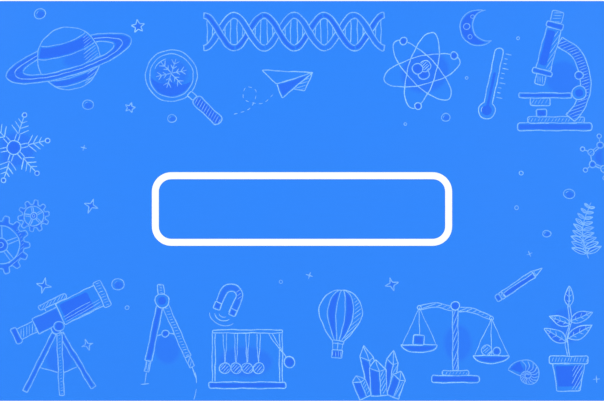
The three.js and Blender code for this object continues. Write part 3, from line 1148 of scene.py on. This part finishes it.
MARK_TURNS = (-25, 25)
MARK_ROOM = 19.0  # from a mark's middle to any line
MARK_EDGE = 10.0  # and to the board's margin
KEPT_FREE = (300.0, 110.0)  # half width and half height of the plain middle


def draw_marks(pen):
    """Puts marks at chance places that are clear of every line and of the plain middle."""
    made = 0
    for across, up in pen.chance.uniform(-1, 1, (MARK_TRIES, 2)) * (pen.limit - MARK_EDGE):
        nearest = min(np.hypot(*(path - (across, up)).T).min() for path in pen.drawn if len(path))
        if nearest < MARK_ROOM or (abs(across) < KEPT_FREE[0] and abs(up) < KEPT_FREE[1]):
            continue
        with pen.at(across, up, pen.chance.uniform(*MARK_SIZES), pen.chance.uniform(*MARK_TURNS)):
            MARKS[made % len(MARKS)](pen)
        made += 1
        if made == MARK_COUNT:
            return


# Shader nodes

def add_node(tree, kind, inputs=None, **settings):
    """Adds a node. Inputs are given by name or number, each as a value or as another node's output."""
    node = tree.nodes.new(kind)
    for name, value in settings.items():
        setattr(node, name, value)
    for name, value in (inputs or {}).items():
        if isinstance(value, bpy.types.NodeSocket):
            tree.links.new(value, node.inputs[name])
        else:
            node.inputs[name].default_value = value
    return node


def maths(tree, operation, *values):
    """A number worked out from others."""
    return add_node(tree, "ShaderNodeMath", dict(enumerate(values)), operation=operation).outputs[0]


def vector_maths(tree, operation, *values):
    """A vector worked out from others, or a vector's length."""
    node = add_node(tree, "ShaderNodeVectorMath", dict(enumerate(values)), operation=operation)
    return node.outputs["Value" if operation == "LENGTH" else "Vector"]


def blend(tree, share, low, high):
    """A colour between two others."""
    return add_node(tree, "ShaderNodeMix", {0: share, 6: low, 7: high}, data_type="RGBA").outputs[2]


def between(tree, value, start, end, low=0.0, high=1.0):
    """A value that goes smoothly from low to high as another goes from start to end."""
    inputs = {"Value": value, "From Min": start, "From Max": end, "To Min": low, "To Max": high}
    return add_node(tree, "ShaderNodeMapRange", inputs, interpolation_type="SMOOTHSTEP").outputs[0]


def noise(tree, vector, scale, detail=3.0, roughness=0.5):
    """Soft noise between 0 and 1."""
    inputs = {"Vector": vector, "Scale": scale, "Detail": detail, "Roughness": roughness}
    return add_node(tree, "ShaderNodeTexNoise", inputs).outputs["Fac"]


def moved(tree, vector, scale=(1, 1, 1), turn=(0, 0, 0), shift=(0, 0, 0)):
    """A place scaled, turned and then shifted."""
    inputs = {"Vector": vector, "Location": shift, "Rotation": turn, "Scale": scale}
    return add_node(tree, "ShaderNodeMapping", inputs).outputs[0]


def fibres(tree, vector, scale, detail=3.0, roughness=0.5):
    """Noise with a scale of its own along each axis."""
    return noise(tree, moved(tree, vector, scale), 1.0, detail, roughness)


def depth_of(tree, vector):
    """A vector's y."""
    return add_node(tree, "ShaderNodeSeparateXYZ", {0: vector}).outputs[1]


def rgba(colour):
    """A setting's colour as a colour socket takes it."""
    return (*colour, 1.0)


def new_group(name, inputs, outputs):
    """An empty node group. Inputs are name, kind and default, and outputs are name and kind."""
    tree = bpy.data.node_groups.new(name, "ShaderNodeTree")
    for label, kind, default in inputs:
        socket = tree.interface.new_socket(label, in_out="INPUT", socket_type="NodeSocket" + kind)
        if default is not None:
            socket.default_value = default
    for label, kind in outputs:
        tree.interface.new_socket(label, in_out="OUTPUT", socket_type="NodeSocket" + kind)
    return tree, tree.nodes.new("NodeGroupInput").outputs, tree.nodes.new("NodeGroupOutput").inputs


def use_group(tree, name, builder, inputs):
    """The outputs of a node group with that name, which is built where it is used first."""
    group = bpy.data.node_groups.get(name) or builder(name)
    return add_node(tree, "ShaderNodeGroup", inputs, node_tree=group).outputs


def new_material(name, **shader_values):
    """A material with a Principled shader, whose fixed values are set on its own sockets. Its patterns are
    placed by Object coordinates."""
    material = bpy.data.materials.new(name)
    material.use_nodes = True
    tree = material.node_tree
    shader = tree.nodes["Principled BSDF"]
    for label, value in shader_values.items():
        shader.inputs[label.replace("_", " ")].default_value = value
    return material, tree, shader, add_node(tree, "ShaderNodeTexCoord").outputs["Object"]


def show(tree, shader, look):
    """Feeds a group's colour and roughness into the shader."""
    for label, socket in (("Colour", "Base Color"), ("Roughness", "Roughness")):
        tree.links.new(look[label], shader.inputs[socket])


def add_relief(tree, shader, height, distance, strength):
    """Feeds a height into the shader's normal through a Bump node."""
    bump = add_node(tree, "ShaderNodeBump", {"Height": height, "Distance": distance, "Strength": strength})
    tree.links.new(bump.outputs[0], shader.inputs["Normal"])


# Node groups

PITH = (0, 0.03, -0.05)  # where the middle of the growth rings runs along a bar
KNOT_COLOUR = (0.13, 0.055, 0.02, 1)
GLUE_COLOUR = (0.09, 0.045, 0.02, 1)
DUST_COLOUR = (0.62, 0.58, 0.52, 1)
DULL_PLATING = (0.36, 0.3, 0.16, 1)
FLOOR_MOTTLE = (0.6, 0.6, 0.6, 1)
GREY = (0.5, 0.5, 0.5, 1)


def build_print_grain(name):
    """The faint unevenness of a print: slow clouds of tone and a fine tooth."""
    tree, given, out = new_group(
        name,
        [("Vector", "Vector", None), ("Colour", "Color", GREY), ("Clouds", "Float", 0.03)],
        [("Colour", "Color"), ("Roughness", "Float"), ("Height", "Float")],
    )
    clouds = noise(tree, given["Vector"], 9.0, detail=4)
    streaks = noise(tree, moved(tree, given["Vector"], scale=(4, 1, 60)), 5.0, detail=2)
    tooth = noise(tree, given["Vector"], 2600.0, detail=2)
    uneven = maths(tree, "ADD", maths(tree, "SUBTRACT", clouds, 0.5), maths(tree, "SUBTRACT", streaks, 0.5))
    level = maths(tree, "ADD", maths(tree, "MULTIPLY", uneven, given["Clouds"]), 1.0)
    tree.links.new(vector_maths(tree, "MULTIPLY", given["Colour"], level), out["Colour"])
    tree.links.new(between(tree, clouds, 0.3, 0.7, 0.5, 0.58), out["Roughness"])
    tree.links.new(tooth, out["Height"])
    return tree


def build_growth_rings(name):
    """Sawn timber with its grain along X. Rings lie at equal distances round a pith line, bent by slow noise.
    Each darkens slowly to its late wood and starts again pale, and fibres run along the grain."""
    tree, given, out = new_group(
        name,
        [
            ("Vector", "Vector", None), ("Pith", "Vector", PITH), ("Spacing", "Float", 0.0034),
            ("Early", "Color", (0.7, 0.45, 0.2, 1)), ("Late", "Color", (0.4, 0.2, 0.06, 1)),
        ],
        [("Colour", "Color"), ("Roughness", "Float"), ("Height", "Float")],
    )
    place = given["Vector"]
    slow = moved(tree, place, scale=(1.6, 9, 9))
    bend = add_node(tree, "ShaderNodeTexNoise", {"Vector": slow, "Scale": 1.0, "Detail": 2.0})
    centred = vector_maths(tree, "SUBTRACT", bend.outputs["Color"], (0.5, 0.5, 0.5))
    bent = vector_maths(tree, "ADD", place, vector_maths(tree, "MULTIPLY", centred, (0, 0.022, 0.022)))
    from_pith = vector_maths(tree, "SUBTRACT", bent, given["Pith"])
    distance = vector_maths(tree, "LENGTH", vector_maths(tree, "MULTIPLY", from_pith, (0, 1, 1)))
    uneven = maths(tree, "MULTIPLY", noise(tree, slow, 3.0), 0.6)
    count = maths(tree, "ADD", maths(tree, "DIVIDE", distance, given["Spacing"]), uneven)
    share = maths(tree, "FRACT", count)
    rise = between(tree, share, 0.35, 0.9)
    drop = between(tree, share, 0.93, 1.0, 1.0, 0.0)
    late = maths(tree, "MULTIPLY", rise, drop)
    fibre = fibres(tree, place, (9, 620, 620), detail=4, roughness=0.6)
    patches = fibres(tree, place, (4, 30, 30))
    cells = {"Vector": moved(tree, place, scale=(5.2, 17, 17)), "Scale": 1.0}
    from_knot = add_node(tree, "ShaderNodeTexVoronoi", cells).outputs["Distance"]
    knot = between(tree, from_knot, 0.09, 0.17, 1.0, 0.0)
    wood = blend(tree, maths(tree, "MULTIPLY", late, 0.75), given["Early"], given["Late"])
    wood = blend(tree, between(tree, fibre, 0.46, 0.74, 0.0, 0.32), wood, given["Late"])
    wood = blend(tree, between(tree, patches, 0.42, 0.72, 0.0, 0.22), wood, given["Late"])
    wood = blend(tree, maths(tree, "MULTIPLY", knot, 0.8), wood, KNOT_COLOUR)
    tree.links.new(wood, out["Colour"])
    tree.links.new(between(tree, maths(tree, "ADD", fibre, late), 0.3, 1.6, 0.74, 0.52), out["Roughness"])
    height = maths(tree, "ADD", maths(tree, "MULTIPLY", fibre, 0.7), maths(tree, "MULTIPLY", late, 0.35))
    tree.links.new(height, out["Height"])
    return tree


def build_handling_marks(name):
    """Dust and rubbed spots: a soft cloud of a dulling colour that is denser in places."""
    tree, given, out = new_group(
        name,
        [
            ("Vector", "Vector", None), ("Colour", "Color", GREY), ("Dust", "Color", DUST_COLOUR),
            ("Amount", "Float", 0.15), ("Roughness", "Float", 0.5),
        ],
        [("Colour", "Color"), ("Roughness", "Float")],
    )
    soft = noise(tree, given["Vector"], 16.0, detail=6, roughness=0.62)
    fine = noise(tree, given["Vector"], 340.0)
    mask = maths(tree, "MULTIPLY", between(tree, soft, 0.42, 0.7), between(tree, fine, 0.3, 0.7, 0.5, 1.0))
    share = maths(tree, "MULTIPLY", mask, given["Amount"])
    tree.links.new(blend(tree, share, given["Colour"], given["Dust"]), out["Colour"])
    rougher = maths(tree, "ADD", given["Roughness"], maths(tree, "MULTIPLY", share, 0.5))
    tree.links.new(rougher, out["Roughness"])
    return tree


def show_handled(tree, shader, place, colour, roughness, amount):
    """Lays handling marks over a colour and a roughness, and feeds both into the shader."""
    inputs = {"Vector": place, "Colour": colour, "Roughness": roughness, "Amount": amount}
    show(tree, shader, use_group(tree, "Handling marks", build_handling_marks, inputs))


# Materials

FILM_END, CORE_START = 0.24 * MM, 0.27 * MM  # how far behind the face the film ends and the core shows


def laminate_material(ink):
    """The printed film over a paler core, which shows at the cut edge a quarter of a millimetre behind the
    face."""
    material, tree, shader, place = new_material("Printed laminate", Specular_IOR_Level=0.28)
    inputs = {"Vector": place, "Colour": rgba(ink.ground)}
    face = use_group(tree, "Print grain", build_print_grain, inputs)
    behind = between(tree, depth_of(tree, place), FACE_Y + FILM_END, FACE_Y + CORE_START)
    tree.links.new(blend(tree, behind, face["Colour"], rgba(ink.core)), shader.inputs["Base Color"])
    tree.links.new(face["Roughness"], shader.inputs["Roughness"])
    add_relief(tree, shader, face["Height"], 0.01 * MM, 0.35)
    return material


def ink_material(name, low, high, mark, clouds, dryness):
    """Raised ink whose colour goes from one to the other by the strokes' own attribute. Dry ink covers the
    ground less at its grain."""
    material, tree, shader, place = new_material(name, Specular_IOR_Level=0.3)
    share = add_node(tree, "ShaderNodeAttribute", attribute_name=mark).outputs["Fac"]
    cover = between(tree, noise(tree, place, 620.0), 0.34, 0.6, 1 - dryness, 1.0)
    colour = blend(tree, maths(tree, "MULTIPLY", share, cover), rgba(low), rgba(high))
    inputs = {"Vector": place, "Colour": colour, "Clouds": clouds}
    face = use_group(tree, "Print grain", build_print_grain, inputs)
    show(tree, shader, face)
    add_relief(tree, shader, face["Height"], 0.01 * MM, 0.4)
    return material


def pine_material(name, timber, shift, grain_up=False, pith=PITH):
    """Planed pine with its grain along X, or along Z where it is turned up. The shift and the pith give each
    bar rings of its own."""
    material, tree, shader, place = new_material(name)
    place = moved(tree, place, turn=(0, math.radians(90 if grain_up else 0), 0), shift=shift)
    rings = use_group(tree, "Growth rings", build_growth_rings, {
        "Vector": place, "Pith": pith, "Spacing": timber.ring_spacing,
        "Early": rgba(timber.pine_early), "Late": rgba(timber.pine_late),
    })
    show_handled(tree, shader, place, rings["Colour"], rings["Roughness"], 0.16)
    add_relief(tree, shader, rings["Height"], 0.12 * MM, 0.6)
    return material


def plywood_material(timber):
    """Birch plywood: a peeled veneer's broad figure on its faces, and plies of turned grain along its
    edges."""
    material, tree, shader, place = new_material("Birch plywood")
    birch, birch_dark, end_grain = map(rgba, (timber.birch, timber.birch_dark, timber.end_grain))
    broad = noise(tree, moved(tree, place, scale=(1.1, 1, 7)), 1.6)
    band = maths(tree, "FRACT", maths(tree, "MULTIPLY", broad, 9.0))
    rise, drop = between(tree, band, 0.2, 0.8), between(tree, band, 0.86, 1.0, 1.0, 0.0)
    figure = maths(tree, "MULTIPLY", maths(tree, "MULTIPLY", rise, drop), 0.42)
    streaks = fibres(tree, place, (6, 60, 420), detail=4, roughness=0.6)
    pores = fibres(tree, place, (70, 900, 900), detail=1)
    veneer = blend(tree, figure, birch, birch_dark)
    veneer = blend(tree, between(tree, streaks, 0.45, 0.75, 0.0, 0.55), veneer, birch_dark)
    veneer = blend(tree, between(tree, pores, 0.66, 0.74, 0.0, 0.6), veneer, end_grain)
    ply = (PANEL_HIGH.y - PANEL_LOW.y) / timber.plies
    count = maths(tree, "DIVIDE", maths(tree, "SUBTRACT", depth_of(tree, place), PANEL_LOW.y), ply)
    crosswise = maths(tree, "GREATER_THAN", maths(tree, "MODULO", count, 2.0), 1.0)
    glue = maths(tree, "LESS_THAN", maths(tree, "PINGPONG", count, 0.5), 0.07)
    cut_ends = fibres(tree, place, (900, 300, 900), detail=2)
    plies = blend(tree, crosswise, birch, end_grain)
    plies = blend(tree, between(tree, cut_ends, 0.4, 0.7, 0.0, 0.5), plies, end_grain)
    plies = blend(tree, maths(tree, "MULTIPLY", glue, 0.75), plies, GLUE_COLOUR)
    normal = add_node(tree, "ShaderNodeNewGeometry").outputs["True Normal"]
    facing = maths(tree, "ABSOLUTE", depth_of(tree, normal))
    wood = blend(tree, between(tree, facing, 0.2, 0.6), plies, veneer)
    show_handled(tree, shader, place, wood, 0.6, 0.14)
    add_relief(tree, shader, maths(tree, "ADD", streaks, cut_ends), 0.08 * MM, 0.5)
    return material


def zinc_material(fittings):
    """Zinc-plated sheet: angular spangles that differ in tone and gloss, with fine rolling lines."""
    material, tree, shader, place = new_material("Zinc plate", Metallic=1.0)
    spangles = add_node(tree, "ShaderNodeTexVoronoi", {"Vector": place, "Scale": 260.0}).outputs["Color"]
    tone = add_node(tree, "ShaderNodeSeparateColor", {0: spangles}).outputs[0]
    lines = fibres(tree, place, (40, 400, 3000), detail=2)
    colour = blend(tree, between(tree, tone, 0.1, 0.9), rgba(fittings.zinc), rgba(fittings.zinc_dull))
    show_handled(tree, shader, place, colour, between(tree, tone, 0.0, 1.0, 0.3, 0.44), 0.3)
    add_relief(tree, shader, maths(tree, "ADD", lines, maths(tree, "MULTIPLY", tone, 0.6)), 0.02 * MM, 0.5)
    return material


def screw_material(fittings):
    """Yellow-passivated steel with a faint shift of tint and some dust."""
    material, tree, shader, place = new_material("Yellow plating", Metallic=1.0)
    tint = between(tree, noise(tree, place, 420.0), 0.35, 0.68)
    colour = blend(tree, tint, rgba(fittings.brass_plating), DULL_PLATING)
    show_handled(tree, shader, place, colour, 0.3, 0.25)
    return material


def rubber_material(fittings):
    """Moulded rubber: a fine pebbled surface with dust on it."""
    material, tree, shader, place = new_material("Moulded rubber", Specular_IOR_Level=0.4)
    show_handled(tree, shader, place, rgba(fittings.rubber), 0.68, 0.3)
    add_relief(tree, shader, noise(tree, place, 1500.0), 0.05 * MM, 0.6)
    return material


# Operators

QUARTER = np.radians((0, 30, 60, 90))  # steps of a rounded rim
LAMINATE_EDGE = 0.2  # radius on the laminate's front edge, in millimetres
DISH_REACH = 0.96  # share of a quarter turn where a pad's dish ends, so that its last circle has a width


def slab(outline, low_y, high_y, ease, front_only=False):
    """A flat piece between two depths. Its rim is a quarter circle in from each face, in millimetres, or from
    the front alone: the outline moves in by ease times 1 - cos t as the depth moves on by ease times
    1 - sin t."""
    insets, steps = ease * (1 - np.cos(QUARTER)), ease * (1 - np.sin(QUARTER)) * MM
    rims = [moved_in(outline, inset) for inset in insets]
    front = [upright(rim, low_y + step) for rim, step in zip(rims, steps)]
    back = [upright(rim, high_y - step) for rim, step in zip(rims, steps)][::-1]
    shells = Shells()
    shells.add(([upright(outline, high_y)] if front_only else back) + front)
    return shells


def board_outline():
    """The board seen from the front."""
    half_width, half_height = BOARD_WIDTH / MM / 2, BOARD_HEIGHT / MM / 2
    return box(-half_width, -half_height, half_width, half_height, BOARD_CORNER)


class TITLE_BOARD_OT_laminate(bpy.types.Operator):
    """Make the printed laminate on the front of the board"""

    bl_idname = "title_board.laminate"
    bl_label = "Printed Laminate"

    def execute(self, context):
        ink = context.scene.title_board.print_face
        back_y = FACE_Y + ink.laminate_thickness
        mesh = slab(board_outline(), FACE_Y, back_y, LAMINATE_EDGE, front_only=True).mesh("laminate")
        add_piece("laminate", mesh, laminate_material(ink), ["printed_face"])
        return {"FINISHED"}


class TITLE_BOARD_OT_drawings(bpy.types.Operator):
    """Draw the pen drawings and the small marks between them"""

    bl_idname = "title_board.drawings"
    bl_label = "Pen Drawings"

    def execute(self, context):
        ink = context.scene.title_board.print_face
        line_ink = ink_material("Line ink", ink.ground, ink.line, "tone", 0.05, dryness=0.4)
        deep_ink = ink_material("Deep ink", ink.ground, ink.deep, "deep", 0.03, dryness=0.1)
        pen = Pen(ink)

        def add_sheet(group):
            """Makes pieces of what was drawn since the last ones."""
            add_ink_piece(f"{group}_lines", pen.lines, line_ink)
            add_ink_piece(f"{group}_fills", pen.fills, deep_ink)
            pen.new_sheet()

        for group, drawings in DRAWINGS.items():
            for draw, across, up, size, turn in drawings:
                pen.pressure = pen.chance.uniform(*PRESSURES)
                with pen.at(across, up, size, turn):
                    draw(pen)
                pen.covers.clear()
            add_sheet(group)
        pen.pressure = MARK_PRESSURE
        draw_marks(pen)
        add_sheet("mark")
        return {"FINISHED"}


class TITLE_BOARD_OT_title_frame(bpy.types.Operator):
    """Make the bare title frame in thick white ink"""

    bl_idname = "title_board.title_frame"
    bl_label = "Title Frame"

    def execute(self, context):
        ink = context.scene.title_board.print_face
        half_width, half_height = ink.title_width / MM / 2, ink.title_height / MM / 2
        drop = ink.title_drop / MM
        path = box(-half_width, -half_height - drop, half_width, half_height - drop, ink.title_corner / MM)
        path = evenly_round(path, TITLE_STEP)
        outward = moved_in(path, -1) - path
        across = TITLE_NIB * ink.title_stroke / MM / 2
        lift = TITLE_ROUND * ink.ink_height
        flat = path[:, None] + outward[:, None] * across[:, None]
        shells = Shells()
        shells.add(upright(flat, FACE_Y - lift), looped=True, tone=np.ones(len(path)))
        title_ink = ink_material("Title ink", ink.ground, ink.title, "tone", 0.02, dryness=0.0)
        add_ink_piece("title_frame", shells, title_ink)
        return {"FINISHED"}


class TITLE_BOARD_OT_panel(bpy.types.Operator):
    """Make the plywood panel behind the laminate"""

    bl_idname = "title_board.plywood_panel"
    bl_label = "Plywood Panel"

    def execute(self, context):
        timber = context.scene.title_board.timber
        shells = slab(board_outline(), PANEL_LOW.y, PANEL_HIGH.y, timber.panel_edge / MM)
        add_piece("panel", shells.mesh("panel"), plywood_material(timber), ["plywood_panel"])
        return {"FINISHED"}


def add_timber(node, pine, timber):
    """Adds a planed copy of one of the frame's bars. Its long arrises are round already, and its ends and the
    rims of its screw holes are eased."""
    name = f"{node}_planed"
    mesh = eased_copy(node, name, timber.eased_edge, least_turn=40)
    add_piece(name, mesh, pine, [node])


class TITLE_BOARD_OT_rails(bpy.types.Operator):
    """Make the four rails and the centre batten, with the bevel under the top rail"""

    bl_idname = "title_board.rails"
    bl_label = "Timber Rails"

    def execute(self, context):
        timber = context.scene.title_board.timber
        for name, shift in {"rail_left": 0.0, "rail_right": 0.31, "centre_batten": 0.67}.items():
            place = (shift, shift / 5, shift / 7)
            add_timber(name, pine_material(f"Pine {name}", timber, place, grain_up=True), timber)
        for name, shift in {"rail_top": 0.13, "rail_bottom": 0.49}.items():
            add_timber(name, pine_material(f"Pine {name}", timber, (shift, shift / 4, shift / 6)), timber)
        return {"FINISHED"}


class TITLE_BOARD_OT_wall_cleat(bpy.types.Operator):
    """Make the bevelled wall cleat that the board hooks over"""

    bl_idname = "title_board.wall_cleat"
    bl_label = "Wall Cleat"

    def execute(self, context):
        timber = context.scene.title_board.timber
        pine = pine_material("Pine cleat", timber, (0.83, 0.21, 0.05), pith=(0, -0.02, 0.09))
        add_timber("wall_cleat", pine, timber)
        return {"FINISHED"}


class TITLE_BOARD_OT_corner_plates(bpy.types.Operator):
    """Make the four corner plates, with countersunk holes"""

    bl_idname = "title_board.corner_plates"
    bl_label = "Corner Plates"

    def execute(self, context):
        fittings = context.scene.title_board.fittings
        zinc = zinc_material(fittings)
        for corner in CORNERS:
            node, name = f"corner_plate_{corner}", f"plate_{corner}"
            mesh = eased_copy(node, name, fittings.plate_edge, least_turn=30)
            add_piece(name, mesh, zinc, [node])
        return {"FINISHED"}


class TITLE_BOARD_OT_screws(bpy.types.Operator):
    """Finish the screws in the corner plates and the rails"""

    bl_idname = "title_board.screws"
    bl_label = "Screws"

    def execute(self, context):
        plating = screw_material(context.scene.title_board.fittings)
        for name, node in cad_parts.items():
            if "screw_" in name:
                node.data.materials.clear()
                node.data.materials.append(plating)
        return {"FINISHED"}


class TITLE_BOARD_OT_wall_pads(bpy.types.Operator):
    """Make the round pads that hold the rails off the wall"""

    bl_idname = "title_board.wall_pads"
    bl_label = "Wall Pads"

    def execute(self, context):
        rubber = rubber_material(context.scene.title_board.fittings)
        for corner in CORNERS:
            node, name = f"wall_pad_{corner}", f"pad_{corner}"
            add_piece(name, self.pad(*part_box(node)).mesh(name), rubber, [node], sharp=50)
        return {"FINISHED"}

    def pad(self, low, high, turns=56, rim=1.0 * MM, foot=0.4 * MM, hollow=0.25 * MM, dish_inset=2.5 * MM):
        """Circles stacked from the rail to the wall between two corners: a bevelled foot, a straight side, a
        round rim, and a dish that is as deep as the hollow times a squared cosine."""
        middle, radius, depth = (low + high) / 2, (high.x - low.x) / 2, high.y - low.y
        dish = np.linspace(0, np.pi / 2, 6)[1:]
        radii = np.concatenate([
            [radius - foot, radius], radius - rim + rim * np.cos(QUARTER),
            (radius - dish_inset) * np.cos(dish * DISH_REACH),
        ])
        depths = np.concatenate([
            [0, foot], depth - rim + rim * np.sin(QUARTER), depth - hollow * np.sin(dish) ** 2,
        ])
        circle = np.linspace(0, 2 * np.pi, turns, endpoint=False)
        shells = Shells()
        shells.add(np.stack([
            middle.x + radii[:, None] * np.cos(circle),
            np.repeat((low.y + depths)[:, None], turns, axis=1),
            middle.z + radii[:, None] * np.sin(circle),
        ], axis=-1))
        return shells


FLOOR_REACH = 60.0  # from the middle to the floor's sides
FLOOR_SQUARE = ((-1, -1), (1, -1), (1, 1), (-1, 1))
GLOW_NEAR, GLOW_FAR, GLOW = 3.0, 8.0, 0.4  # where the floor's glow starts and is full, and its strength
LAMP_SIZE = 3.0
FRONT_LAMPS = {"front_left": (-3.4, -3.6, 0.9), "front_right": (3.4, -3.6, 0.9)}
BACK_LAMP = (-2.6, 3.6, 2.8)


class TITLE_BOARD_OT_stage(bpy.types.Operator):
    """Set up the floor, the lights and the camera"""

    bl_idname = "title_board.stage"
    bl_label = "Stage"

    def execute(self, context):
        stage = context.scene.title_board.stage
        self.add_floor(context.scene, stage)
        self.add_surroundings(context.scene, stage)
        for name, place in FRONT_LAMPS.items():
            self.add_lamp(context.scene, name, place, stage.key_power)
        self.add_lamp(context.scene, "back", BACK_LAMP, stage.back_power)
        self.add_camera(context.scene, stage)
        context.scene.view_settings.view_transform = "Standard"
        return {"FINISHED"}

    def add_floor(self, scene, stage):
        """A wide flat square as far below the board as it is where a board hangs on a wall. It glows whiter
        with its distance, so that its far side ends in the white all round."""
        height = PRINT_LOW.z - stage.hanging_height
        mesh = bpy.data.meshes.new("floor")
        corners = [(x * FLOOR_REACH, y * FLOOR_REACH, height) for x, y in FLOOR_SQUARE]
        mesh.from_pydata(corners, [], [(0, 1, 2, 3)])
        material, tree, shader, place = new_material("Pale floor", Roughness=0.9, Specular_IOR_Level=0.1)
        mottle = between(tree, noise(tree, place, 3.0, detail=4), 0.3, 0.7, 0, 0.03)
        tree.links.new(blend(tree, mottle, rgba(stage.floor), FLOOR_MOTTLE), shader.inputs["Base Color"])
        glow = between(tree, vector_maths(tree, "LENGTH", place), GLOW_NEAR, GLOW_FAR, 0, GLOW)
        tree.links.new(glow, shader.inputs["Emission Color"])
        shader.inputs["Emission Strength"].default_value = 1.0
        mesh.materials.append(material)
        floor = bpy.data.objects.new("floor", mesh)
        scene.collection.objects.link(floor)

    def add_surroundings(self, scene, stage):
        """Soft light from all round, seen as plain white."""
        world = bpy.data.worlds.new("Pale room")
        world.use_nodes = True
        tree = world.node_tree
        background = tree.nodes["Background"]
        background.inputs["Color"].default_value = (1, 1, 1, 1)
        seen = add_node(tree, "ShaderNodeLightPath").outputs["Is Camera Ray"]
        tree.links.new(maths(tree, "MAXIMUM", seen, stage.surroundings), background.inputs["Strength"])
        scene.world = world

    def add_lamp(self, scene, name, place, power):
        """A large square light that faces the middle of the board."""
        light = bpy.data.lights.new(name, "AREA")
        light.energy = power
        light.size = LAMP_SIZE
        lamp = bpy.data.objects.new(name, light)
        lamp.location = place
        ahead = Vector((0, FACE_Y, BOARD_MIDDLE_Z)) - Vector(place)
        lamp.rotation_euler = ahead.to_track_quat("-Z", "Y").to_euler()
        scene.collection.objects.link(lamp)

    def add_camera(self, scene, stage):
        """Straight on. Its distance is the width that the frame shows times the lens over the sensor's
        width."""
        camera = bpy.data.cameras.new("camera")
        camera.lens = stage.lens
        distance = PHOTO_COLUMNS * PIXEL * camera.lens / camera.sensor_width
        face_middle_row = (FACE_TOP_ROW + FACE_BOTTOM_ROW) / 2
        height = BOARD_MIDDLE_Z - (PHOTO_MIDDLE_ROW - face_middle_row) * PIXEL
        viewer = bpy.data.objects.new("camera", camera)
        viewer.location = (0, FACE_Y - distance, height)
        viewer.rotation_euler = (math.radians(90), 0, 0)
        scene.collection.objects.link(viewer)
        scene.camera = viewer


class TITLE_BOARD_PT_sidebar(bpy.types.Panel):
    """The title board's makers and settings"""

    bl_idname = "TITLE_BOARD_PT_sidebar"
    bl_label = "Title Board"
    bl_space_type = "VIEW_3D"
    bl_region_type = "UI"
    bl_category = "Title Board"

    def draw(self, context):
        for operator in OPERATORS:
            self.layout.operator(operator.bl_idname)
        settings = context.scene.title_board
        for group in (settings.print_face, settings.timber, settings.fittings, settings.stage):
            column = self.layout.box().column()
            for name in group.__annotations__:
                column.prop(group, name)


OPERATORS = (
    TITLE_BOARD_OT_laminate,
    TITLE_BOARD_OT_drawings,
    TITLE_BOARD_OT_title_frame,
    TITLE_BOARD_OT_panel,
    TITLE_BOARD_OT_rails,
    TITLE_BOARD_OT_wall_cleat,
    TITLE_BOARD_OT_corner_plates,
    TITLE_BOARD_OT_screws,
    TITLE_BOARD_OT_wall_pads,
    TITLE_BOARD_OT_stage,
)
CLASSES = (
    TitleBoardPrint, TitleBoardTimber, TitleBoardFittings, TitleBoardStage, TitleBoardSettings,
    *OPERATORS, TITLE_BOARD_PT_sidebar,
)


def register():
    """Adds the settings, the operators and the panel."""
    for each in CLASSES:
        bpy.utils.register_class(each)
    bpy.types.Scene.title_board = PointerProperty(type=TitleBoardSettings)


def unregister():
    """Takes them out again, in reverse order."""
    del bpy.types.Scene.title_board
    for each in reversed(CLASSES):
        bpy.utils.unregister_class(each)


def main():
    """Makes the board and its stage."""
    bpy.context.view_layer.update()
    register()
    for operator in OPERATORS:
        group, name = operator.bl_idname.split(".")
        getattr(getattr(bpy.ops, group), name)()


if __name__ == "__main__":
    main()
